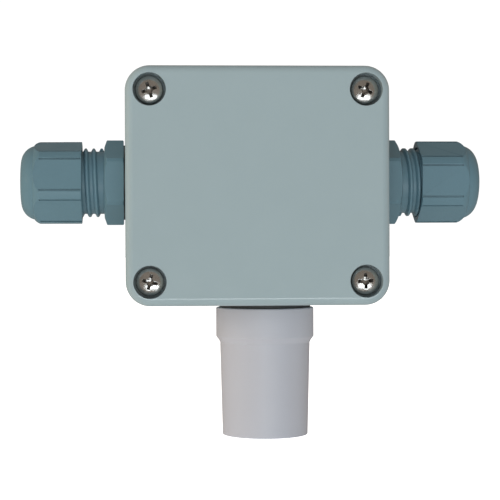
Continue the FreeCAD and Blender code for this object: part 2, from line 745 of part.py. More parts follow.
def lid_screw(corner):
    """A pan-headed screw with a cross recess; its own Z axis points at whoever turns it."""
    head, height, side = cell("head_radius"), cell("head_height"), cell("head_side")
    shank, length, lead = cell("screw_radius"), cell("screw_length"), cell("thread_lead")
    rise = height - side
    dome = (head * head + rise * rise) / (rise * 2)
    body = turned_body(
        f"lid_screw_{corner}",
        [
            (ZERO, -length),
            (shank - lead, -length),
            (shank, lead - length),
            (shank, ZERO),
            (head, ZERO),
            (head, side, dome),
            (ZERO, height),
        ],
    )
    cross = new_sketch(body, f"{corner}_cross", "XY_Plane", height)
    reach, half = cell("cross_span") / 2, cell("cross_slot") / 2
    draw_profile(
        cross,
        [
            (reach, -half),
            (reach, half),
            (half, half),
            (half, reach),
            (-half, reach),
            (-half, half),
            (-reach, half),
            (-reach, -half),
            (-half, -half),
            (-half, -reach),
            (half, -reach),
            (half, -half),
        ],
    )
    pocket(body, f"{corner}_cross_recess", cross, cell("cross_depth"), taper=CROSS_TAPER)
    side_sign, level = CORNERS[corner]
    place(
        body,
        (side_sign * SCREW_X, -SEAT_DEPTH, level * SCREW_Z),
        FORWARDS * about_z(cell(f"turn_{corner}")),
    )
    return body


def screw_retainer(corner):
    """The ring under the lid that keeps a loosened screw from falling out."""
    bore = cell("screw_radius") + cell("insert_gap") / 2
    outside, thick = RETAINER_RADIUS, cell("retainer_thickness")
    edge = thick / 4
    body = turned_body(
        f"screw_retainer_{corner}",
        [
            (bore, ZERO),
            (outside - edge, ZERO, edge),
            (outside, edge),
            (outside, thick - edge, edge),
            (outside - edge, thick),
            (bore, thick),
        ],
    )
    side, level = CORNERS[corner]
    place(
        body,
        (side * SCREW_X, -(INSERT_TOP + cell("retainer_rise")), level * SCREW_Z),
        FORWARDS,
    )
    return body


def cylinder(name, radius, height):
    """A Part cylinder whose sizes are bound."""
    item = DOC.addObject("Part::Cylinder", name)
    bind(item, "Radius", radius)
    bind(item, "Height", height)
    return item


def cut(name, base, tool):
    """One Part solid less another."""
    item = DOC.addObject("Part::Cut", name)
    item.Base = base
    item.Tool = tool
    return item


def fuse(name, items):
    """Several Part solids as one."""
    item = DOC.addObject("Part::MultiFuse", name)
    item.Shapes = items
    return item


def group(label, items):
    """Identical separate solids that share one node."""
    item = DOC.addObject("Part::Compound", label)
    item.Label = label
    item.Links = items
    return item


def threaded_insert(corner):
    """A brass insert with a waist between its two knurled bands."""
    band = cell("insert_length") * cell("insert_band_share")
    waist = INSERT_RADIUS * cell("insert_waist_share")
    core = cylinder(f"insert_core_{corner}", waist, cell("insert_length"))
    lower = cylinder(f"insert_lower_{corner}", INSERT_RADIUS, band)
    upper = cylinder(f"insert_upper_{corner}", INSERT_RADIUS, band)
    place(upper, (ZERO, ZERO, cell("insert_length") - band))
    bore = cylinder(
        f"insert_bore_{corner}", cell("screw_radius") + cell("insert_gap"), cell("insert_length")
    )
    solid = cut(f"insert_{corner}", fuse(f"insert_blank_{corner}", [core, lower, upper]), bore)
    side, level = CORNERS[corner]
    place(
        solid,
        (side * SCREW_X, -(INSERT_TOP - cell("insert_length")), level * SCREW_Z),
        FORWARDS,
    )
    return solid


def threaded_inserts():
    """The four brass inserts, pressed into the pillars."""
    return group("threaded_inserts", [threaded_insert(corner) for corner in CORNERS])


# ---------------------------------------------------------------------------------------------------
# Cable glands: each piece's own Z axis is the gland's axis, with zero at the wall's outside
# ---------------------------------------------------------------------------------------------------

# radii, from the cable outwards
BASKET_BORE = cell("seal_bore_radius") + cell("seal_wall")
BASKET_RADIUS = BASKET_BORE + cell("basket_wall")
BASKET_SEAT = BASKET_RADIUS + cell("basket_gap")
BASKET_TIP_RADIUS = BASKET_BORE + cell("basket_tip_wall")
THREAD_ROOT = BASKET_SEAT + cell("sleeve_wall")
THREAD_CREST = THREAD_ROOT + cell("thread_depth")
NUT_BORE = THREAD_CREST + cell("nut_gap")
HALF_FLATS = NUT_BORE + cell("nut_wall")
RIB_RADIUS = HALF_FLATS + cell("nut_rib_height")

# heights, from the wall outwards
NUT_END = cell("nut_start") + cell("nut_length")
BASKET_TIP = NUT_END - cell("nut_end_wall") - cell("basket_gap")
BASKET_FOOT = BASKET_TIP - cell("basket_length")
NUT_PLAY = cell("nut_start") - cell("washer_thickness") - cell("gland_hex_height")
BASKET_SHOULDER = BASKET_FOOT - NUT_PLAY - cell("basket_gap") * 2


def set_on_side(body, side, angle=0, advance=ZERO):
    """Puts a gland's piece on its side of the box, turned about its axis and moved inwards."""
    place(
        body,
        (side * (HALF_WIDTH - advance), -AXIS_DEPTH, cell("gland_height")),
        OUTWARDS[side] * about_z(angle),
    )


def side_name(side):
    """The word that begins the names of one side's pieces."""
    return "left" if side == LEFT else "right"


def cut_to_hexagon(body, name, flats, start, reach, upright=False):
    """Cuts a turned piece to six flats, from the height start upwards."""
    ring = new_sketch(body, f"{name}_hexagon", "XY_Plane", start)
    draw_circle(ring, ZERO, ZERO, flats)
    draw_hexagon(ring, flats, upright)
    pocket(body, f"{name}_flats", ring, reach, upwards=True)


def hexagon_blank(flats):
    """Radii of a turned blank's face and of its widest part, for a hexagon with rounded corners."""
    widest = flats * cell("hex_corner_share")
    return widest - cell("hex_slope_reach"), widest


def gland_body(side):
    """Entry thread, hexagon and threaded sleeve of a gland, moulded in one."""
    label = f"{side_name(side)}_gland_body"
    base = cell("washer_thickness")
    top = base + cell("gland_hex_height")
    end = top + cell("thread_length")
    bore = BASKET_BORE + cell("gland_bore_gap")
    entry, tip, lead = cell("entry_radius"), -cell("entry_length"), cell("thread_lead")
    face, widest = hexagon_blank(HALF_FLATS * 2)
    body = turned_body(
        label,
        [
            (bore, tip),
            (entry - lead, tip),
            (entry, tip + lead),
            (entry, base),
            (widest, base),
            (widest, top - cell("hex_slope_height")),
            (face, top),
            (THREAD_ROOT, top),
            (THREAD_ROOT, end),
            (BASKET_SEAT, end),
            (BASKET_SEAT, BASKET_SHOULDER),
            (bore, BASKET_SHOULDER),
        ],
    )
    cut_to_hexagon(body, label, HALF_FLATS * 2, base, cell("gland_hex_height"))
    add_thread(body, label, top)
    set_on_side(body, side)
    return body


def add_thread(body, label, start):
    """Winds the dome nut's thread round the sleeve, from the hexagon to just short of its end."""
    before = volume_of(body)
    pitch = cell("thread_pitch")
    root, crest = THREAD_ROOT - cell("thread_sink"), THREAD_CREST
    foot = pitch * THREAD_ROOT_SHARE
    flank = pitch * ((THREAD_ROOT_SHARE - THREAD_CREST_SHARE) / 2)
    section = new_sketch(body, f"{label}_thread_section", "XZ_Plane")
    draw_profile(
        section,
        [
            (root, start),
            (crest, start + flank),
            (crest, start + foot - flank),
            (root, start + foot),
        ],
    )
    thread = body.newObject("PartDesign::AdditiveHelix", f"{label}_thread")
    thread.Profile = section
    thread.ReferenceAxis = (section, ["V_Axis"])
    thread.Mode = "pitch-height-angle"
    bind(thread, "Pitch", pitch)
    bind(thread, "Height", cell("thread_length") - foot - cell("thread_tail"))
    checked(thread, before, removes=False)


def washer(label, outside, thickness):
    """A flat rubber washer round an entry thread."""
    return turned_body(
        label,
        [
            (NECK_BORE, ZERO),
            (outside, ZERO),
            (outside, thickness),
            (NECK_BORE, thickness),
        ],
    )


def panel_washer(side):
    """The rubber washer between a gland's hexagon and the wall."""
    label = f"{side_name(side)}_panel_washer"
    body = washer(label, HALF_FLATS - cell("washer_inset"), cell("washer_thickness"))
    set_on_side(body, side)
    return body


def locknut(label):
    """A hexagonal locknut with turned-down corners, whose face lies on the inside of the wall.

    Its flats face the corner pillars, and two of its corners face the back of the box and the lid.
    """
    face, widest = hexagon_blank(HALF_LOCKNUT * 2)
    top, bottom = -cell("wall"), -(cell("wall") + cell("locknut_height"))
    body = turned_body(
        label,
        [
            (NECK_BORE, bottom),
            (face, bottom),
            (widest, bottom + cell("hex_slope_height")),
            (widest, top),
            (NECK_BORE, top),
        ],
    )
    height = cell("locknut_height")
    cut_to_hexagon(body, label, HALF_LOCKNUT * 2, bottom, height, upright=True)
    return body


def gland_locknut(side):
    """The locknut that holds a gland, inside the box."""
    body = locknut(f"{side_name(side)}_locknut")
    set_on_side(body, side)
    return body


def clamp_basket(side):
    """The ring of fingers that the dome nut closes on the seal."""
    label = f"{side_name(side)}_clamp_basket"
    body = turned_body(
        label,
        [
            (BASKET_BORE, BASKET_FOOT),
            (BASKET_RADIUS, BASKET_FOOT),
            (BASKET_RADIUS, BASKET_TIP - cell("basket_taper")),
            (BASKET_TIP_RADIUS, BASKET_TIP),
            (BASKET_BORE, BASKET_TIP),
        ],
    )
    slot = new_sketch(body, f"{label}_slot_outline", "XY_Plane", BASKET_TIP)
    middle = (BASKET_RADIUS + BASKET_BORE) / 2
    draw_rectangle(slot, middle, ZERO, cell("basket_wall") * 3, cell("finger_slot"))
    first = pocket(body, f"{label}_slot", slot, cell("finger_length"))
    repeat_round(body, f"{label}_slots", first, FINGERS)
    set_on_side(body, side, advance=cell(f"{side_name(side)}_nut_advance"))
    return body


def seal_insert(side):
    """The rubber insert that grips the cable inside the basket."""
    label = f"{side_name(side)}_seal_insert"
    outside, bore = BASKET_BORE - cell("fit_gap"), cell("seal_bore_radius")
    lead = cell("seal_lead")
    tip = BASKET_TIP - cell("seal_sink")
    foot = tip - cell("seal_length")
    body = turned_body(
        label,
        [
            (bore + lead, foot),
            (outside, foot),
            (outside, tip),
            (bore + lead, tip),
            (bore, tip - lead),
            (bore, foot + lead),
        ],
    )
    set_on_side(body, side, advance=cell(f"{side_name(side)}_nut_advance"))
    return body


def dome_nut(side):
    """The nut that closes the gland: six flats, six corner ribs and a rounded mouth."""
    label = f"{side_name(side)}_dome_nut"
    start, end = cell("nut_start"), NUT_END
    rim, grip = cell("nut_rim_chamfer"), start + cell("nut_grip_length")
    shoulder = HALF_FLATS - cell("nut_shoulder_drop")
    mouth = cell("seal_bore_radius") + cell("nut_mouth_gap")
    rounding = cell("nut_mouth_rounding")
    inside = end - cell("nut_end_wall")
    body = turned_body(
        label,
        [
            (NUT_BORE + rim, start),
            (RIB_RADIUS - rim, start),
            (RIB_RADIUS, start + rim),
            (RIB_RADIUS, grip),
            (HALF_FLATS - cell("nut_run_out_drop"), grip + cell("nut_run_out")),
            (shoulder, end - cell("nut_dome_height"), cell("nut_dome_radius")),
            (mouth + rounding, end, rounding),
            (mouth, end - rounding),
            (mouth, inside),
            (BASKET_TIP_RADIUS + cell("nut_cone_gap"), inside),
            (NUT_BORE, start + cell("nut_bore_length")),
            (NUT_BORE, start + rim),
        ],
    )
    cut_to_hexagon(body, label, HALF_FLATS * 2, start, cell("nut_length"))
    cut_rib_grooves(body, label, start)
    word = side_name(side)
    set_on_side(body, side, cell(f"{word}_nut_turn"), cell(f"{word}_nut_advance"))
    return body


def cut_rib_grooves(body, label, start):
    """Cuts the fine groove on each side of each corner rib, along the nut's grip."""
    foot = square_root(RIB_RADIUS * RIB_RADIUS - HALF_FLATS * HALF_FLATS)
    depth, width = cell("nut_groove"), cell("nut_groove_width")
    grooves = new_sketch(body, f"{label}_groove_outline", "XY_Plane", start)
    for side in (LEFT, RIGHT):
        draw_rectangle(grooves, side * (foot - depth), HALF_FLATS, width, depth * 2)
    first = pocket(
        body,
        f"{label}_groove_pair",
        grooves,
        cell("nut_grip_length") - cell("nut_rim_chamfer"),
        upwards=True,
    )
    repeat_round(body, f"{label}_grooves", first, HEX_CORNERS)


# ---------------------------------------------------------------------------------------------------
# Spigot: each piece's own Z axis points down, with zero at the underside of the box
# ---------------------------------------------------------------------------------------------------

DOWNWARDS = FreeCAD.Rotation(FreeCAD.Vector(1, 0, 0), 180)


def set_below(body):
    """Puts a piece of the spigot on its axis under the box."""
    place(body, (cell("spigot_shift"), -AXIS_DEPTH, -HALF_HEIGHT), DOWNWARDS)


def spigot():
    """A hollow tapered spigot with a collar, and a threaded neck that enters the box."""
    top, end = cell("spigot_washer_thickness"), cell("spigot_end")
    collar, neck = cell("collar_end"), cell("entry_radius")
    tip, lead = -cell("entry_length"), cell("thread_lead")
    roof = top + cell("spigot_roof")
    body = turned_body(
        "spigot",
        [
            (cell("neck_bore_radius"), tip),
            (neck - lead, tip),
            (neck, tip + lead),
            (neck, top),
            (cell("collar_radius"), top),
            (cell("collar_radius"), collar),
            (cell("spigot_top_radius"), collar + cell("collar_chamfer")),
            (cell("spigot_end_radius"), end),
            (cell("spigot_bore_radius"), end),
            (cell("spigot_bore_radius"), roof),
            (cell("neck_bore_radius"), roof),
        ],
    )
    set_below(body)
    return body


def spigot_washer():
    """The rubber washer between the spigot's collar and the box."""
    outside = cell("collar_radius") - cell("spigot_washer_inset")
    body = washer("spigot_washer", outside, cell("spigot_washer_thickness"))
    set_below(body)
    return body


def spigot_locknut():
    """The locknut that holds the spigot, inside the box."""
    body = locknut("spigot_locknut")
    set_below(body)
    return body


# ---------------------------------------------------------------------------------------------------
# Terminal strip
# ---------------------------------------------------------------------------------------------------

BARREL_BACK = STRIP_BACK + cell("barrel_floor")
BARREL_AXIS = BARREL_BACK + cell("barrel_size") / 2
BARREL_FRONT = BARREL_BACK + cell("barrel_size")
STRIP_FRONT = STRIP_BACK + cell("strip_depth")
FIXING_SEAT = BARREL_FRONT + cell("fixing_seat_rise")


def terminal_strip():
    """The strip's moulding, open for three barrels, their screws, the wires and two fixing screws."""
    body = new_body("terminal_strip")
    height = cell("strip_height")
    outline = new_sketch(body, "strip_outline", "XZ_Plane", STRIP_BACK)
    draw_rectangle(
        outline, ZERO, height, cell("strip_width"), cell("pole_pitch") * float(POLES)
    )
    pad(body, "strip_block", outline, cell("strip_depth"))

    notches = new_sketch(body, "strip_notch_outline", "XZ_Plane", STRIP_FRONT)
    reach = cell("strip_notch_length") + NOTCH_OVERRUN
    for side in (LEFT, RIGHT):
        middle = side * (cell("strip_width") / 2 + NOTCH_OVERRUN - reach / 2)
        for level in fixing_heights():
            draw_rectangle(notches, middle, level, reach, cell("strip_notch_width"))
    pocket(body, "strip_notches", notches, cell("strip_depth") - cell("strip_notch_floor"))

    tunnels = new_sketch(body, "strip_tunnel_outline", "YZ_Plane")
    width = cell("barrel_size") + cell("barrel_gap") * 2
    for level in pole_heights():
        draw_rectangle(tunnels, -BARREL_AXIS, level, width, width)
    length = cell("barrel_length") + cell("barrel_gap") * 2
    pocket(body, "strip_barrel_tunnels", tunnels, length, both_ways=True)

    funnels = new_sketch(body, "strip_wire_circles", "YZ_Plane")
    for level in pole_heights():
        draw_circle(funnels, -BARREL_AXIS, level, cell("wire_bore_radius") + cell("wire_funnel_gap"))
    pocket(body, "strip_wire_holes", funnels, both_ways=True)

    room = cell("clamp_head_radius") + cell("clamp_well_gap")
    wells = new_sketch(body, "strip_well_circles", "XZ_Plane", STRIP_FRONT)
    for side in (LEFT, RIGHT):
        for level in pole_heights():
            draw_circle(wells, side * cell("clamp_spacing") / 2, level, room)
    pocket(body, "strip_screw_wells", wells, STRIP_FRONT - BARREL_FRONT)

    seats = new_sketch(body, "strip_seat_circles", "XZ_Plane", STRIP_FRONT)
    for level in fixing_heights():
        draw_circle(
            seats, ZERO, level, cell("fixing_head_radius") + cell("fixing_well_gap")
        )
    pocket(body, "strip_fixing_seats", seats, STRIP_FRONT - FIXING_SEAT)

    holes = new_sketch(body, "strip_fixing_circles", "XZ_Plane", STRIP_FRONT)
    for level in fixing_heights():
        draw_circle(holes, ZERO, level, cell("fixing_radius") + cell("fixing_hole_gap"))
    pocket(body, "strip_fixing_holes", holes)
    return body


def terminal_barrel(pole, level):
    """One brass barrel: a square bar with a wire bore and two holes for the clamp screws."""
    size, length = cell("barrel_size"), cell("barrel_length")
    bar = DOC.addObject("Part::Box", f"barrel_bar_{pole}")
    bind(bar, "Length", length)
    bind(bar, "Width", size)
    bind(bar, "Height", size)
    place(bar, (-(length / 2), -BARREL_FRONT, level - size / 2))
    bore = cylinder(f"barrel_bore_{pole}", cell("wire_bore_radius"), length)
    place(bore, (-(length / 2), -BARREL_AXIS, level), OUTWARDS[RIGHT])
    holes = []
    for side in (LEFT, RIGHT):
        hole = cylinder(
            f"barrel_hole_{pole}_{side_name(side)}",
            cell("clamp_radius") + cell("clamp_gap"),
            size / 2,
        )
        place(hole, (side * cell("clamp_spacing") / 2, -BARREL_AXIS, level), FORWARDS)
        holes.append(hole)
    return cut(f"barrel_{pole}", bar, fuse(f"barrel_holes_{pole}", [bore] + holes))


def terminal_barrels():
    """The three brass barrels."""
    barrels = [
        terminal_barrel(pole, level) for pole, level in enumerate(pole_heights(), start=1)
    ]
    return group("terminal_barrels", barrels)


def clamp_place(side, level, depth):
    """A point on a clamp screw's axis, that far from the wall."""
    return (side * cell("clamp_spacing") / 2, -depth, level)


CLAMP_SEAT = BARREL_FRONT + cell("clamp_head_rise")


def terminal_screw(label, side, level):
    """A slotted clamp screw; its own Z axis points forwards and starts under its head."""
    head, height = cell("clamp_head_radius"), cell("clamp_head_height")
    shank, tip, lead = cell("clamp_radius"), -cell("clamp_length"), cell("clamp_lead")
    body = turned_body(
        label,
        [
            (ZERO, tip),
            (shank - lead, tip),
            (shank, tip + lead),
            (shank, ZERO),
            (head, ZERO),
            (head, height - lead),
            (head - lead, height),
            (ZERO, height),
        ],
    )
    slot = new_sketch(body, f"{label}_slot_outline", "XY_Plane", height)
    across = (head + NOTCH_OVERRUN) * 2
    draw_rectangle(slot, ZERO, ZERO, across, cell("clamp_slot_width"))
    pocket(body, f"{label}_slot", slot, cell("clamp_slot_depth"))
    place(body, clamp_place(side, level, CLAMP_SEAT), FORWARDS)
    return body


def wire_pad(label, side, level):
    """The guard pad between a clamp screw's tip and the wire."""
    body = new_body(label)
    outline = new_sketch(body, f"{label}_outline", "XY_Plane")
    draw_circle(outline, ZERO, ZERO, cell("pad_radius"))
    pad(body, f"{label}_disc", outline, cell("pad_thickness"))
    depth = CLAMP_SEAT - cell("clamp_length") - cell("pad_gap") - cell("pad_thickness")
    place(body, clamp_place(side, level, depth), FORWARDS)
    return body


def strip_screws():
    """The two screws that hold the strip on its posts."""
    reach = FIXING_SEAT - STRIP_BACK + cell("fixing_bite") - cell("fixing_tip_gap")
    across, wide = (cell("fixing_head_radius") + NOTCH_OVERRUN) * 2, cell("clamp_slot_width")
    solids = []
    for index, level in enumerate(fixing_heights(), start=1):
        shank = cylinder(f"fixing_shank_{index}", cell("fixing_radius"), reach)
        head = cylinder(
            f"fixing_head_{index}", cell("fixing_head_radius"), cell("fixing_head_height")
        )
        place(head, (ZERO, ZERO, reach))
        slot = DOC.addObject("Part::Box", f"fixing_slot_{index}")
        bind(slot, "Length", across)
        bind(slot, "Width", wide)
        bind(slot, "Height", cell("clamp_slot_depth"))
        bottom = reach + cell("fixing_head_height") - cell("clamp_slot_depth")
        place(slot, (-(across / 2), -(wide / 2), bottom))
        solid = cut(f"fixing_{index}", fuse(f"fixing_blank_{index}", [shank, head]), slot)
        place(solid, (ZERO, -(FIXING_SEAT - reach), level), FORWARDS)
        solids.append(solid)
    return group("strip_screws", solids)


# ---------------------------------------------------------------------------------------------------
# Assembly and export
# ---------------------------------------------------------------------------------------------------


def build():
    """Makes every piece and returns the document objects, one for each node."""
    pieces = [box_base(), lid(), lid_gasket(), threaded_inserts()]
    for corner in CORNERS:
        pieces += [lid_screw(corner), screw_retainer(corner)]
    for side in (LEFT, RIGHT):
        pieces += [
            gland_body(side),
            panel_washer(side),
            gland_locknut(side),
            clamp_basket(side),
            seal_insert(side),
            dome_nut(side),
        ]
    pieces += [spigot(), spigot_washer(), spigot_locknut()]
    pieces += [terminal_strip(), terminal_barrels(), strip_screws()]
    for pole, level in enumerate(pole_heights(), start=1):
        for side in (LEFT, RIGHT):
            name = f"{pole}_{side_name(side)}"
            pieces.append(terminal_screw(f"terminal_screw_{name}", side, level))
            pieces.append(wire_pad(f"wire_pad_{name}", side, level))
    DOC.recompute()
    return pieces


def check(pieces):
    """Stops on any object that failed to recompute, and on any node without a valid solid."""
    for item in DOC.Objects:
        if {"Invalid", "Error"} & set(item.State):
            raise RuntimeError(f"{item.Label} is {item.State}")
    for piece in pieces:
        shape = piece.Shape
        if shape.isNull() or not shape.isValid() or not shape.Solids:
            raise RuntimeError(f"{piece.Label} has no valid solid")


def export(pieces):
    """Writes each node's shape to its own file."""
    os.makedirs("parts", exist_ok=True)
    for piece in pieces:
        piece.Shape.exportStep(os.path.join("parts", f"{piece.Label}.step"))
        print(f"{piece.Label}: {len(piece.Shape.Solids)} solid, {piece.Shape.Volume:.1f} mm3")


PIECES = build()
check(PIECES)
export(PIECES)
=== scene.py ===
"""Looks of the junction box with its two cable glands and its spigot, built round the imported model.

Everything is in metres in the model's own frame: X runs from gland to gland, Z is up, and the box
reaches forwards from the wall plane Y = 0 to negative Y.
"""

import logging
import math
from dataclasses import dataclass, field
from enum import Enum
from typing import Sequence

import bmesh
import bpy
from mathutils import Matrix, Quaternion, Vector


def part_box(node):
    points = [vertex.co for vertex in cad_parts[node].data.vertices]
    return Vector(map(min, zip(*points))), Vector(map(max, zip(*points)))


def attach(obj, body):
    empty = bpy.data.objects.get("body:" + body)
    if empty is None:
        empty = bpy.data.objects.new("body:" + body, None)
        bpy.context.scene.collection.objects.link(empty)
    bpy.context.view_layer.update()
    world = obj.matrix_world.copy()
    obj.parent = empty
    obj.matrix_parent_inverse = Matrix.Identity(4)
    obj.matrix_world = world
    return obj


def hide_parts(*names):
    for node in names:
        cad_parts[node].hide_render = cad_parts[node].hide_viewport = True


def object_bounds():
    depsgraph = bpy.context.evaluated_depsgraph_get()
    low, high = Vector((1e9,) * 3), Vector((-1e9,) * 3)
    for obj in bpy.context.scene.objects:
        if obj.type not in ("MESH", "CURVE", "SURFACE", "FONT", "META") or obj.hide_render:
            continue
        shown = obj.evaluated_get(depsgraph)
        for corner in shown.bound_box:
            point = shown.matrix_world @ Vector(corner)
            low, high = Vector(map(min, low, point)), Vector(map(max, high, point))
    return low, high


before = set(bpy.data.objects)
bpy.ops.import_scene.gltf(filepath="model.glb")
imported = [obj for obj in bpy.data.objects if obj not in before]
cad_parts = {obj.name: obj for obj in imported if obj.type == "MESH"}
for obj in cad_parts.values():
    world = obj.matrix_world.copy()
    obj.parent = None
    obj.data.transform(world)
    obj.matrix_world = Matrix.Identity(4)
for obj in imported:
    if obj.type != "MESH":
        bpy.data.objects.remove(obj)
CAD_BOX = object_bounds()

LOG = logging.getLogger("junction_box")
MM = 0.001
WELD = 0.0005 * MM
COPY_WELD = 0.002 * MM
BUMP_HEIGHT = 0.1 * MM
FLATS = 6
FIRST_FLAT = 30.0
COOL_WHITE = (0.90, 0.97, 1.0)

Pair = tuple[float, float]
Triple = tuple[float, float, float]
Colour = Triple
Tree = bpy.types.NodeTree
Node = bpy.types.Node
Socket = bpy.types.NodeSocket
Material = bpy.types.Material


# --- Shader nodes ---


class NodeBench:
    """Short calls for laying out and wiring the nodes of one tree."""

    def __init__(self, tree: Tree) -> None:
        """Starts on an empty tree.

        Args:
            tree: The node tree to fill.
        """
        self.tree = tree
        tree.nodes.clear()

    def add(self, kind: str, **settings: object) -> Node:
        """Adds a node.

        Args:
            kind: The node's type name, without the word ShaderNode.
            **settings: Properties of the node, by name.

        Returns:
            The new node.
        """
        node = self.tree.nodes.new(kind if kind.startswith("Node") else f"ShaderNode{kind}")
        for name, value in settings.items():
            setattr(node, name, value)
        return node

    def wire(self, start: Socket, end: Socket) -> None:
        """Joins an output to an input."""
        self.tree.links.new(start, end)

    def feed(self, socket: Socket, value: object) -> None:
        """Wires an input, or sets it.

        Args:
            socket: The input.
            value: A socket to wire, or a number or a colour to set.
        """
        if isinstance(value, Socket):
            self.wire(value, socket)
        else:
            socket.default_value = (*value, 1.0) if isinstance(value, tuple) else value

    def maths(self, operation: str, first: object, second: object) -> Socket:
        """Adds a Math node.

        Args:
            operation: The name of the operation.
            first: A socket or a number.
            second: A socket or a number.

        Returns:
            The result's socket.
        """
        node = self.add("Math", operation=operation)
        for socket, value in zip(node.inputs, (first, second)):
            self.feed(socket, value)
        return node.outputs[0]

    def noise(self, vector: Socket, scale: object, detail: float, rough: float = 0.5) -> Socket:
        """Adds a Noise Texture and returns its value.

        Args:
            vector: The socket that gives the place.
            scale: A socket or a number, in features per metre.
            detail: Octaves of the noise.
            rough: How strong the finer octaves are.

        Returns:
            The socket with the noise's value.
        """
        node = self.add("TexNoise")
        values = {"Vector": vector, "Scale": scale, "Detail": detail, "Roughness": rough}
        for name, value in values.items():
            self.feed(node.inputs[name], value)
        return node.outputs[0]

    def remap(self, value: Socket, source: Pair, target: Pair = (0.0, 1.0)) -> Socket:
        """Stretches a value from one range to another, without passing the target's ends.

        Args:
            value: The socket to stretch.
            source: The two ends of the range taken in.
            target: What those ends become.

        Returns:
            The stretched value's socket.
        """
        node = self.add("MapRange", clamp=True)
        names = ("Value", "From Min", "From Max", "To Min", "To Max")
        for name, number in zip(names, (value, *source, *target)):
            self.feed(node.inputs[name], number)
        return node.outputs["Result"]

    def blend(self, share: Socket, first: object, second: object) -> Socket:
        """Mixes two colours.

        Args:
            share: The socket that gives the second colour's share.
            first: A socket or a colour.
            second: A socket or a colour.

        Returns:
            The mixed colour's socket.
        """
        node = self.add("Mix", data_type="RGBA")
        colours = [socket for socket in node.inputs if socket.type == "RGBA"]
        for socket, value in zip((node.inputs["Factor"], *colours), (share, first, second)):
            self.feed(socket, value)
        return next(socket for socket in node.outputs if socket.type == "RGBA")


class Effect(Enum):
    """Shared surface effects, each a node group that is built once."""

    MOTTLE = "mottle"
    GRAIN = "moulding_grain"
    WEAR = "edge_wear"
    # Darkens corners and recesses: partly dirt, partly painted shade where light is blocked.
    DIRT_AND_SHADE = "crevice_dirt_and_shade"
    LATHE = "lathe_marks"


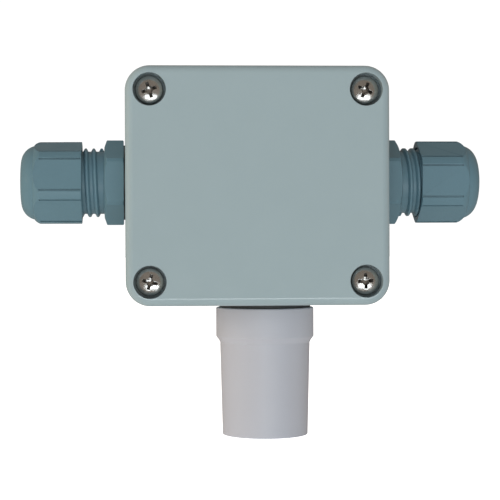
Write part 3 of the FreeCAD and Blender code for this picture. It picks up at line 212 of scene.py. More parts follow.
class EffectShelf:
    """Builds the shared node groups and places them in materials."""

    def __init__(self) -> None:
        """Builds every group."""
        self.groups = {
            Effect.MOTTLE: self.mottle(),
            Effect.GRAIN: self.grain(),
            Effect.WEAR: self.nearness(
                Effect.WEAR, samples=6, inside=True,
                near=(0.2, 0.6), patches=(0.42, 0.66), shares=(0.15, 0.8),
            ),
            # Crevice darkening: dirt, and painted shade in corners and recesses.
            Effect.DIRT_AND_SHADE: self.nearness(
                Effect.DIRT_AND_SHADE, samples=8, inside=False,
                near=(0.35, 0.85), patches=(0.25, 0.6), shares=(0.35, 1.0),
            ),
            Effect.LATHE: self.lathe(),
        }

    @staticmethod
    def empty_group(
        effect: Effect, takes: dict[str, str], gives: dict[str, str]
    ) -> tuple[NodeBench, Node, Node]:
        """Starts a group with its sockets.

        Args:
            effect: The effect that the group makes.
            takes: Socket types by input name.
            gives: Socket types by output name.

        Returns:
            The bench, the group's input node and its output node.
        """
        tree = bpy.data.node_groups.new(effect.value, "ShaderNodeTree")
        for side, sockets in (("INPUT", takes), ("OUTPUT", gives)):
            for name, kind in sockets.items():
                tree.interface.new_socket(name=name, in_out=side, socket_type=f"NodeSocket{kind}")
        bench = NodeBench(tree)
        return bench, bench.add("NodeGroupInput"), bench.add("NodeGroupOutput")

    def mottle(self) -> Tree:
        """Slow drift between two colours, in large and in small patches."""
        finer, large_share, small_share = 9.0, 0.65, 0.35
        takes = {"Vector": "Vector", "Scale": "Float", "Light": "Color", "Deep": "Color"}
        bench, start, end = self.empty_group(Effect.MOTTLE, takes, {"Colour": "Color"})
        large = bench.noise(start.outputs["Vector"], start.outputs["Scale"], detail=2.0)
        fine_scale = bench.maths("MULTIPLY", start.outputs["Scale"], finer)
        small = bench.noise(start.outputs["Vector"], fine_scale, detail=3.0)
        large = bench.maths("MULTIPLY", large, large_share)
        small = bench.maths("MULTIPLY", small, small_share)
        share = bench.remap(bench.maths("ADD", large, small), (0.32, 0.68))
        mixed = bench.blend(share, start.outputs["Light"], start.outputs["Deep"])
        bench.wire(mixed, end.inputs["Colour"])
        return bench.tree

    def grain(self) -> Tree:
        """Fine spark-eroded texture of a mould, with soft sink marks under it."""
        wider, sink = 0.04, 2.5
        takes = {"Vector": "Vector", "Scale": "Float"}
        gives = {"Height": "Float", "Sheen": "Float"}
        bench, start, end = self.empty_group(Effect.GRAIN, takes, gives)
        fine = bench.noise(start.outputs["Vector"], start.outputs["Scale"], detail=4.0, rough=0.6)
        slow_scale = bench.maths("MULTIPLY", start.outputs["Scale"], wider)
        slow = bench.noise(start.outputs["Vector"], slow_scale, detail=1.0)
        height = bench.maths("ADD", fine, bench.maths("MULTIPLY", slow, sink))
        bench.wire(height, end.inputs["Height"])
        bench.wire(bench.remap(slow, (0.3, 0.7)), end.inputs["Sheen"])
        return bench.tree

    def nearness(
        self, effect: Effect, samples: int, inside: bool, near: Pair, patches: Pair, shares: Pair
    ) -> Tree:
        """Mask of the surface near an edge, broken up by noise.

        Wear looks inside the plastic, so it finds the outer edges that handling has rubbed. The crevice
        mask looks outside, so it finds corners and recesses, which it darkens as dust and as painted
        shade.

        Args:
            effect: The effect that the group makes.
            samples: Rays that look for other surfaces.
            inside: Whether they look inside the solid.
            near: Openness at an edge and away from it.
            patches: The noise between which the mask goes from weak to strong.
            shares: The mask where it is weak and where it is strong.

        Returns:
            The group.
        """
        takes = {"Vector": "Vector", "Reach": "Float", "Scale": "Float"}
        bench, start, end = self.empty_group(effect, takes, {"Mask": "Float"})
        occlusion = bench.add("AmbientOcclusion", samples=samples, inside=inside)
        bench.wire(start.outputs["Reach"], occlusion.inputs["Distance"])
        edge = bench.remap(occlusion.outputs["AO"], near, (1.0, 0.0))
        patch = bench.noise(start.outputs["Vector"], start.outputs["Scale"], detail=3.0)
        broken = bench.remap(patch, patches, shares)
        bench.wire(bench.maths("MULTIPLY", edge, broken), end.inputs["Mask"])
        return bench.tree

    def lathe(self) -> Tree:
        """Fine lines of a turned or cold-headed metal face, and its dull patches."""
        finer, patch_height = 6.0, 0.7
        takes = {"Vector": "Vector", "Scale": "Float"}
        gives = {"Height": "Float", "Sheen": "Float"}
        bench, start, end = self.empty_group(Effect.LATHE, takes, gives)
        fine_scale = bench.maths("MULTIPLY", start.outputs["Scale"], finer)
        streaks = bench.noise(start.outputs["Vector"], fine_scale, detail=2.0)
        patches = bench.noise(start.outputs["Vector"], start.outputs["Scale"], detail=4.0, rough=0.6)
        raised = bench.maths("MULTIPLY", patches, patch_height)
        bench.wire(bench.maths("ADD", streaks, raised), end.inputs["Height"])
        bench.wire(bench.remap(patches, (0.35, 0.7)), end.inputs["Sheen"])
        return bench.tree

    def place(self, bench: NodeBench, effect: Effect, vector: Socket, **values: object) -> Node:
        """Puts an effect in a material.

        Args:
            bench: The material's bench.
            effect: The effect to place.
            vector: The socket that gives the place.
            **values: Numbers and colours for the group's inputs, by name.

        Returns:
            The group's node.
        """
        node = bench.add("Group", node_tree=self.groups[effect])
        bench.wire(vector, node.inputs["Vector"])
        for name, value in values.items():
            bench.feed(node.inputs[name], value)
        return node


# --- Finishes ---


@dataclass(frozen=True)
class Finish:
    """A moulded plastic or rubber, or a plated or turned metal.

    Attributes:
        slot: The record's material slot.
        light: Colour of the clean surface.
        deep: Colour that its patches drift to.
        dirt_and_shade_colour: Colour of the crevices, where dirt and painted shade are mixed in.
        gloss: Lowest and highest roughness.
        rubbed: Colour of rubbed edges, or None where none show.
        wear_reach: How far from an edge it is rubbed, in metres.
        wear_scale: Patches of wear, per metre.
        dirt_and_shade_reach: How far from a corner the dirt and the painted shade reach, in metres.
        dirt_and_shade_scale: Patches of the dirt and the painted shade, per metre.
        mottle_scale: Patches of colour, per metre.
        texture: The effect that roughens the surface.
        texture_scale: Its features, per metre.
        texture_depth: How strongly it shows, from 0 to 1.
        metallic: 1 for metal, 0 for anything else.
        shine: Strength of the reflections of what isn't metal.
        clear: Share of light that passes through the skin.
        clear_depth: How far it goes, in metres.
    """

    slot: str
    light: Colour
    deep: Colour
    dirt_and_shade_colour: Colour
    gloss: Pair
    rubbed: Colour | None = None
    wear_reach: float = 0.12 * MM
    wear_scale: float = 900.0
    dirt_and_shade_reach: float = 0.9 * MM
    dirt_and_shade_scale: float = 1500.0
    mottle_scale: float = 120.0
    texture: Effect = Effect.GRAIN
    texture_scale: float = 5200.0
    texture_depth: float = 0.12
    metallic: float = 0.0
    shine: float = 0.5
    clear: float = 0.0
    clear_depth: float = 0.8 * MM

    def material(self, shelf: EffectShelf) -> Material:
        """Builds the material.

        Args:
            shelf: The shared effects.

        Returns:
            The material, named after its slot.
        """
        made, bench, shader, place = start_material(self.slot)
        colours = {"Scale": self.mottle_scale, "Light": self.light, "Deep": self.deep}
        colour = shelf.place(bench, Effect.MOTTLE, place, **colours).outputs["Colour"]
        if self.rubbed:
            size = {"Reach": self.wear_reach, "Scale": self.wear_scale}
            wear = shelf.place(bench, Effect.WEAR, place, **size)
            colour = bench.blend(wear.outputs["Mask"], colour, self.rubbed)
        # Crevices darken towards their colour: partly dirt, partly painted shade where light is blocked.
        size = {"Reach": self.dirt_and_shade_reach, "Scale": self.dirt_and_shade_scale}
        dirt_and_shade = shelf.place(bench, Effect.DIRT_AND_SHADE, place, **size)
        colour = bench.blend(dirt_and_shade.outputs["Mask"], colour, self.dirt_and_shade_colour)
        bench.wire(colour, shader.inputs["Base Color"])
        texture = shelf.place(bench, self.texture, place, Scale=self.texture_scale)
        roughness = bench.remap(texture.outputs["Sheen"], (0.0, 1.0), self.gloss)
        bench.wire(roughness, shader.inputs["Roughness"])
        raise_surface(bench, shader, texture.outputs["Height"], self.texture_depth)
        shader.inputs["Metallic"].default_value = self.metallic
        shader.inputs["Specular IOR Level"].default_value = self.shine
        if self.clear:
            shader.inputs["Subsurface Weight"].default_value = self.clear
            shader.inputs["Subsurface Radius"].default_value = (1.0, 1.0, 1.0)
            shader.inputs["Subsurface Scale"].default_value = self.clear_depth
        return made


def start_material(name: str) -> tuple[Material, NodeBench, Node, Socket]:
    """Makes a material with its shader, its output and the Object coordinates.

    Args:
        name: The material's name.

    Returns:
        The material, its bench, its Principled BSDF and the socket with Object coordinates.
    """
    made = bpy.data.materials.new(name)
    made.use_nodes = True
    bench = NodeBench(made.node_tree)
    output = bench.add("OutputMaterial")
    shader = bench.add("BsdfPrincipled")
    bench.wire(shader.outputs["BSDF"], output.inputs["Surface"])
    place = bench.add("TexCoord").outputs["Object"]
    return made, bench, shader, place


def raise_surface(bench: NodeBench, shader: Node, height: Socket, strength: float) -> None:
    """Feeds a height to the shader's normal through a Bump node.

    Args:
        bench: The material's bench.
        shader: The shader to feed.
        height: The socket with the height.
        strength: How strongly it shows, from 0 to 1.
    """
    bump = bench.add("Bump")
    bump.inputs["Strength"].default_value = strength
    bump.inputs["Distance"].default_value = BUMP_HEIGHT
    bench.wire(height, bump.inputs["Height"])
    bench.wire(bump.outputs["Normal"], shader.inputs["Normal"])


# What the finishes of all metals share.
METAL = {
    "dirt_and_shade_scale": 2500.0,
    "mottle_scale": 450.0,
    "texture": Effect.LATHE,
    "texture_scale": 900.0,
    "texture_depth": 0.08,
    "metallic": 1.0,
}
# The fourth colour of each finish darkens its crevices: partly dirt, partly painted shade.
FINISHES = (
    Finish(
        "box_plastic", (0.335, 0.432, 0.462), (0.327, 0.423, 0.453), (0.12, 0.145, 0.15), (0.17, 0.22),
        dirt_and_shade_reach=0.6 * MM, rubbed=(0.44, 0.52, 0.54), shine=0.75,
    ),
    Finish(
        "gland_plastic", (0.120, 0.226, 0.278), (0.114, 0.217, 0.269), (0.05, 0.085, 0.10), (0.38, 0.46),
        dirt_and_shade_reach=0.35 * MM, rubbed=(0.20, 0.30, 0.35),
    ),
    Finish(
        "spigot_plastic", (0.485, 0.505, 0.560), (0.475, 0.495, 0.548), (0.27, 0.26, 0.26), (0.45, 0.55),
        dirt_and_shade_reach=0.5 * MM, rubbed=(0.55, 0.56, 0.60),
    ),
    Finish(
        "strip_plastic", (0.76, 0.76, 0.71), (0.70, 0.70, 0.64), (0.4, 0.38, 0.33), (0.3, 0.4),
        rubbed=(0.82, 0.82, 0.78), clear=0.3,
    ),
    Finish(
        "retainer_plastic", (0.83, 0.83, 0.78), (0.77, 0.77, 0.71), (0.4, 0.38, 0.33), (0.3, 0.4),
        rubbed=(0.86, 0.86, 0.82), clear=0.3,
    ),
    Finish(
        "gasket_rubber", (0.045, 0.048, 0.051), (0.035, 0.037, 0.04), (0.09, 0.09, 0.085), (0.55, 0.7),
        texture_depth=0.3, rubbed=(0.08, 0.08, 0.08),
    ),
    Finish(
        "dark_rubber", (0.050, 0.056, 0.058), (0.042, 0.047, 0.049), (0.05, 0.052, 0.05), (0.5, 0.65),
        texture_depth=0.3, rubbed=(0.06, 0.06, 0.06),
    ),
    Finish(
        "screw_steel", (0.66, 0.65, 0.64), (0.52, 0.51, 0.49), (0.06, 0.055, 0.05), (0.16, 0.26),
        **METAL,
    ),
    Finish(
        "steel", (0.58, 0.57, 0.54), (0.47, 0.46, 0.43), (0.06, 0.055, 0.05), (0.22, 0.38),
        dirt_and_shade_reach=0.5 * MM, **METAL,
    ),
    Finish(
        "brass", (0.72, 0.50, 0.19), (0.60, 0.38, 0.13), (0.12, 0.07, 0.03), (0.2, 0.36),
        dirt_and_shade_reach=0.5 * MM, **METAL,
    ),
)


# --- The studio ---


@dataclass
class Softbox:
    """A rectangular studio light that looks at a point.

    Attributes:
        name: The light's name.
        place: Where it stands, in metres.
        aim: The point that it looks at.
        size: Width and height of its face.
        power: Its power in watts.
        colour: Its colour.
        mirrored: Whether it shows in reflections.
    """

    name: str
    place: Triple
    aim: Triple
    size: Pair
    power: float
    colour: Colour
    mirrored: bool

    def hang(self) -> None:
        """Puts the light in the scene."""
        lamp = bpy.data.lights.new(self.name, "AREA")
        lamp.shape = "RECTANGLE"
        lamp.size, lamp.size_y = self.size
        lamp.energy = self.power
        lamp.color = self.colour
        item = bpy.data.objects.new(self.name, lamp)
        item.location = self.place
        direction = Vector(self.aim) - Vector(self.place)
        item.rotation_euler = direction.to_track_quat("-Z", "Y").to_euler()
        item.visible_camera = False
        item.visible_glossy = self.mirrored
        bpy.context.scene.collection.objects.link(item)


@dataclass
class Studio:
    """Floor, backdrop, lights and camera.

    Attributes:
        floor_half: Half the width of the floor.
        floor_gap: Room between the lowest piece and the floor.
        eye: The camera's place.
        yaw: How far the camera looks to the right of straight ahead, in degrees.
        pitch: How far it looks up, in degrees.
        roll: How far it leans, in degrees.
        lens: Its focal length in millimetres on a 36 mm sensor.
        shift: How far the picture is moved on the sensor, as a share of its width.
        white: Strength of the room where the camera sees it.
        near_light: Colour of the room in front of the object.
        far_light: Colour of the room above, behind and to the right.
        reflected: Colour of the room in reflections.
        floor_glow: Strength of the floor's own light, unseen and where the camera sees it.
        lights: The lamps.
    """

    floor_half: float = 3.0
    floor_gap: float = 0.05 * MM
    eye: Triple = (-30.1 * MM, -397.3 * MM, -11.8 * MM)
    yaw: float = 3.28
    pitch: float = -0.58
    roll: float = -0.23
    lens: float = 108.9
    shift: Pair = (0.06, 0.0)
    white: float = 1.05
    near_light: Colour = (0.555, 0.605, 0.645)
    far_light: Colour = (0.34, 0.265, 0.21)
    reflected: Colour = (0.26, 0.225, 0.19)
    floor_glow: Pair = (0.35, 1.1)
    lights: tuple[Softbox, ...] = field(
        default_factory=lambda: (
            Softbox(
                "high_softbox", place=(-0.45, -1.2, 0.45), aim=(0, 0, 0), size=(0.8, 0.6),
                power=2.2, colour=COOL_WHITE, mirrored=False,
            ),
            Softbox(
                "low_softbox", place=(0.11, -0.97, -0.34), aim=(0, 0, 0), size=(0.74, 0.22),
                power=2.2, colour=COOL_WHITE, mirrored=True,
            ),
            Softbox(
                "left_bounce", place=(-0.9, -0.25, 0.0), aim=(0, 0, -0.02), size=(0.4, 0.6),
                power=3.0, colour=(1.0, 0.70, 0.42), mirrored=False,
            ),
        )
    )

    def build(self) -> None:
        """Builds the whole studio."""
        self.lay_floor()
        self.light_room()
        for lamp in self.lights:
            lamp.hang()
        self.set_camera()

    def lay_floor(self) -> None:
        """Lays a pale floor just under the object."""
        clear_selection()
        height = CAD_BOX[0].z - self.floor_gap
        bpy.ops.mesh.primitive_plane_add(size=2 * self.floor_half, location=(0.0, 0.0, height))
        floor = bpy.context.active_object
        floor.name = "studio_floor"
        bpy.ops.object.transform_apply()
        made, bench, shader, place = start_material("studio_paper")
        shader.inputs["Roughness"].default_value = 0.9
        shader.inputs["Emission Color"].default_value = (1.0, 1.0, 1.0, 1.0)
        seen = bench.add("LightPath").outputs["Is Camera Ray"]
        glow = bench.remap(seen, (0.0, 1.0), self.floor_glow)
        bench.wire(glow, shader.inputs["Emission Strength"])
        paper = bench.remap(bench.noise(place, 3.0, detail=2.0), (0.3, 0.7), (0.86, 0.9))
        tint = bench.add("CombineColor")
        for channel in tint.inputs:
            bench.wire(paper, channel)
        bench.wire(tint.outputs[0], shader.inputs["Base Color"])
        floor.data.materials.append(made)
        floor.visible_glossy = False
        floor.visible_shadow = False

    def light_room(self) -> None:
        """Lights the room: white where it is seen, cool in front, warm and dim elsewhere."""
        world = bpy.data.worlds.new("studio_room")
        world.use_nodes = True
        bench = NodeBench(world.node_tree)
        output = bench.add("OutputWorld")
        seen, felt = bench.add("Background"), bench.add("Background")
        seen.inputs["Strength"].default_value = self.white
        seen.inputs["Color"].default_value = (1.0, 1.0, 1.0, 1.0)
        direction = bench.add("SeparateXYZ")
        bench.wire(bench.add("TexCoord").outputs["Generated"], direction.inputs[0])
        height = bench.remap(direction.outputs["Z"], (0.5, 1.0))
        behind = bench.remap(direction.outputs["Y"], (-0.3, 0.4), (0.0, 0.6))
        right = bench.remap(direction.outputs["X"], (0.0, 0.8), (0.0, 1.3))
        shade = bench.maths("MAXIMUM", bench.maths("MAXIMUM", height, behind), right)
        sky = bench.blend(shade, self.near_light, self.far_light)
        path = bench.add("LightPath")
        room = bench.blend(path.outputs["Is Glossy Ray"], sky, self.reflected)
        bench.wire(room, felt.inputs["Color"])
        switch = bench.add("MixShader")
        parts = (path.outputs["Is Camera Ray"], felt.outputs[0], seen.outputs[0])
        for socket, part in zip(switch.inputs, parts):
            bench.wire(part, socket)
        bench.wire(switch.outputs[0], output.inputs["Surface"])
        bpy.context.scene.world = world
        bpy.context.scene.view_settings.view_transform = "Standard"

    def set_camera(self) -> None:
        """Sets the camera at its place, with depth of field off."""
        lens = bpy.data.cameras.new("studio_camera")
        lens.sensor_width = 36.0
        lens.lens = self.lens
        lens.shift_x, lens.shift_y = self.shift
        lens.clip_start, lens.clip_end = 0.01, 20.0
        camera = bpy.data.objects.new("studio_camera", lens)
        yaw, pitch = math.radians(self.yaw), math.radians(self.pitch)
        ahead = Vector(
            (math.sin(yaw) * math.cos(pitch), math.cos(yaw) * math.cos(pitch), math.sin(pitch))
        )
        lean = Quaternion((0.0, 0.0, 1.0), math.radians(self.roll))
        camera.rotation_mode = "QUATERNION"
        camera.rotation_quaternion = ahead.to_track_quat("-Z", "Y") @ lean
        camera.location = self.eye
        bpy.context.scene.collection.objects.link(camera)
        bpy.context.scene.camera = camera


# --- Bench work ---


def clear_selection() -> None:
    """Deselects every object."""
    bpy.ops.object.select_all(action="DESELECT")


def start_edit() -> None:
    """Goes to edit mode, with all of the active object selected."""
    bpy.ops.object.mode_set(mode="EDIT")
    bpy.ops.mesh.select_all(action="SELECT")


class Workpiece:
    """One new piece, shaped by operators in its own frame and then set in its place.

    A turned piece's own axis is Z.
    """

    def __init__(self, name: str, item: bpy.types.Object) -> None:
        """Takes an object that has just been added.

        Args:
            name: The piece's name.
            item: The object to shape.
        """
        self.item = item
        item.name = name
        item.data.name = name

    @classmethod
    def drawn(cls, name: str, points: Sequence[Pair]) -> "Workpiece":
        """Draws a line in the XZ plane by extruding one vertex from point to point.

        Args:
            name: The piece's name.
            points: Radius and height of each point, in metres.

        Returns:
            The new workpiece, in edit mode with everything selected.
        """
        clear_selection()
        radius, height = points[0]
        bpy.ops.mesh.primitive_plane_add(size=MM, location=(radius, 0.0, height))
        piece = cls(name, bpy.context.active_object)
        bpy.ops.object.transform_apply()
        start_edit()
        bpy.ops.mesh.select_mode(type="VERT")
        bpy.ops.mesh.merge(type="CENTER")
        for (radius, height), (next_radius, next_height) in zip(points, points[1:]):
            step = (next_radius - radius, 0.0, next_height - height)
            bpy.ops.mesh.extrude_vertices_move(TRANSFORM_OT_translate={"value": step})
        bpy.ops.mesh.select_all(action="SELECT")
        return piece

    @classmethod
    def turned(cls, name: str, points: Sequence[Pair], steps: int) -> "Workpiece":
        """Draws a section and spins it into a closed solid of revolution.

        Args:
            name: The piece's name.
            points: Radius and height of each point of the section, in metres.
            steps: Facets round the axis.

        Returns:
            The new workpiece, in object mode.
        """
        piece = cls.drawn(name, points)
        bpy.ops.mesh.spin(steps=steps, angle=2 * math.pi, center=(0, 0, 0), axis=(0, 0, 1))
        piece.close_up()
        return piece

    @classmethod
    def block(cls, name: str, size: Triple, place: Triple) -> "Workpiece":
        """Adds a block, left in edit mode with everything selected.

        Args:
            name: The piece's name.
            size: Its size along each axis, in metres.
            place: The place of its middle, in metres.

        Returns:
            The new workpiece.
        """
        clear_selection()
        bpy.ops.mesh.primitive_cube_add(size=1.0, location=place, scale=size)
        piece = cls(name, bpy.context.active_object)
        bpy.ops.object.transform_apply()
        start_edit()
        return piece

    @classmethod
    def merged_copy(cls, name: str, node: str) -> "Workpiece":
        """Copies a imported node, welds its triangles and joins those that lie in one plane.

        Args:
            name: The piece's name.
            node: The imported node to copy.

        Returns:
            The new workpiece, in object mode.
        """
        clear_selection()
        item = bpy.data.objects.new(name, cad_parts[node].data.copy())
        bpy.context.scene.collection.objects.link(item)
        item.select_set(True)
        bpy.context.view_layer.objects.active = item
        piece = cls(name, item)
        bpy.ops.mesh.customdata_custom_splitnormals_clear()
        start_edit()
        bpy.ops.mesh.remove_doubles(threshold=COPY_WELD)
        bpy.ops.mesh.dissolve_limited(angle_limit=math.radians(0.3))
        bpy.ops.object.mode_set(mode="OBJECT")
        return piece

    def take_up(self) -> None:
        """Makes this the only selected and the active object."""
        clear_selection()
        self.item.select_set(True)
        bpy.context.view_layer.objects.active = self.item

    def close_up(self) -> None:
        """Welds doubled points, turns all faces outwards and goes back to object mode."""
        bpy.ops.mesh.select_all(action="SELECT")
        bpy.ops.mesh.remove_doubles(threshold=WELD)
        bpy.ops.mesh.normals_make_consistent(inside=False)
        bpy.ops.object.mode_set(mode="OBJECT")

    def twin(self, name: str) -> "Workpiece":
        """Copies the piece, with a mesh of the copy's own."""
        item = self.item.copy()
        item.data = self.item.data.copy()
        bpy.context.scene.collection.objects.link(item)
        return Workpiece(name, item)

    def discard(self) -> None:
        """Takes away a piece that served as a pattern or a cutter."""
        bpy.data.objects.remove(self.item)

    def take_in(self, others: Sequence["Workpiece"]) -> None:
        """Joins other workpieces to this one as they lie."""
        self.take_up()
        for other in others:
            other.item.select_set(True)
        bpy.ops.object.join()

    def cut_hexagon(self, half: float) -> None:
        """Cuts the six flats of a hexagon that has a corner on X.

        Args:
            half: Distance from the axis to each flat.
        """
        self.take_up()
        bpy.ops.object.mode_set(mode="EDIT")
        for index in range(FLATS):
            angle = math.radians(FIRST_FLAT) + 2 * math.pi * index / FLATS
            spoke = (math.cos(angle), math.sin(angle), 0.0)
            bpy.ops.mesh.select_all(action="SELECT")
            bpy.ops.mesh.bisect(
                plane_co=[half * part for part in spoke], plane_no=spoke,
                use_fill=True, clear_outer=True,
            )
        bpy.ops.mesh.select_all(action="SELECT")
        bpy.ops.object.mode_set(mode="OBJECT")

    def apply(self, kind: str, **settings: object) -> None:
        """Adds a modifier and applies it.

        Args:
            kind: The modifier's type.
            **settings: Its properties, by name.
        """
        self.take_up()
        modifier = self.item.modifiers.new(kind.lower(), kind)
        for name, value in settings.items():
            setattr(modifier, name, value)
        bpy.ops.object.modifier_apply(modifier=modifier.name)

    def carve(self, tool: "Workpiece", operation: str = "DIFFERENCE") -> None:
        """Cuts another workpiece out of this one, or joins it to this one, and discards it.

        Args:
            tool: The other workpiece.
            operation: What the Boolean modifier does.
        """
        self.apply("BOOLEAN", operation=operation, object=tool.item, solver="EXACT")
        tool.discard()

    def soften(self, width: float, angle: float, segments: int = 2) -> None:
        """Rounds every edge sharper than an angle.

        Args:
            width: Width of the rounding, in metres.
            angle: Least angle between two faces, in degrees.
            segments: Facets across the rounding.
        """
        self.apply(
            "BEVEL", width=width, segments=segments, limit_method="ANGLE",
            angle_limit=math.radians(angle), harden_normals=False, use_clamp_overlap=True,
        )

    def smooth(self, angle: float) -> None:
        """Shades the piece smooth but for sharp edges, and keeps large flats flat.

        Args:
            angle: Least angle of a sharp edge, in degrees.
        """
        self.take_up()
        bpy.ops.object.shade_smooth_by_angle(angle=math.radians(angle))
        self.apply("WEIGHTED_NORMAL", mode="FACE_AREA", weight=100, keep_sharp=True)

    def settle(self, place: Matrix) -> None:
        """Sets the piece in its place, with the place in its mesh."""
        self.take_up()
        self.item.matrix_world = place
        bpy.ops.object.transform_apply()

    def hand_over(self, material: Material, body: str, *nodes: str) -> None:
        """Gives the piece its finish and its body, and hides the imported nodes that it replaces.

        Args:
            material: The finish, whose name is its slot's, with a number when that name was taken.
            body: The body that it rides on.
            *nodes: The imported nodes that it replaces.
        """
        self.item.data.materials.clear()
        self.item.data.materials.append(material)
        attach(self.item, body)
        if nodes:
            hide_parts(*nodes)
        LOG.info("%s: %d faces, rides on %s", self.item.name, len(self.item.data.polygons), body)


def arc(centre: Pair, radius: float, start: float, end: float, steps: int) -> list[Pair]:
    """Points on an arc in a section.

    Args:
        centre: Radius and height of the arc's centre.
        radius: The arc's radius.
        start: Its first angle in degrees, from the outward direction.
        end: Its last angle in degrees.
        steps: Segments along it.

    Returns:
        The points, both ends among them.
    """
    points = []
    for step in range(steps + 1):
        angle = math.radians(start + (end - start) * step / steps)
        points.append((centre[0] + radius * math.cos(angle), centre[1] + radius * math.sin(angle)))
    return points


def bulge(start: Pair, end: Pair, radius: float, steps: int) -> list[Pair]:
    """Points on the outward arc of a radius from one point of a section to another.

    Args:
        start: First point.
        end: Last point.
        radius: The arc's radius.
        steps: Segments along it.

    Returns:
        The points, both ends among them.
    """
    first, last = Vector(start), Vector(end)
    chord = last - first
    height = math.sqrt(max(radius**2 - chord.length_squared / 4, 0.0))
    centre = (first + last) / 2 + Vector((-chord.y, chord.x)).normalized() * height
    begin = math.atan2(first.y - centre.y, first.x - centre.x)
    finish = math.atan2(last.y - centre.y, last.x - centre.x)
    return arc(tuple(centre), radius, math.degrees(begin), math.degrees(finish), steps)


class Corner(Enum):
    """The lid's corners, each with the angle in degrees at which its screw's cross came to rest."""

    TOP_LEFT = 18.0
    TOP_RIGHT = -24.0
    BOTTOM_LEFT = -13.0
    BOTTOM_RIGHT = 2.0

    @property
    def word(self) -> str:
        """The words that end the names of this corner's pieces."""
        return self.name.lower()


class Side(Enum):
    """The two sides of the box, with the direction of each along X."""

    LEFT = -1
    RIGHT = 1

    @property
    def word(self) -> str:
        """The word that begins the names of this side's pieces."""
        return self.name.lower()

    def outwards(self, axis: Vector, turn: float = 0.0) -> Matrix:
        """Places a piece with its own Z axis pointing out of this side.

        Args:
            axis: Where the piece's origin goes.
            turn: How far it is turned round its axis, in degrees.

        Returns:
            The piece's place.
        """
        lean = Matrix.Rotation(math.radians(90.0 * self.value), 4, "Y")
        return Matrix.Translation(axis) @ lean @ Matrix.Rotation(math.radians(turn), 4, "Z")


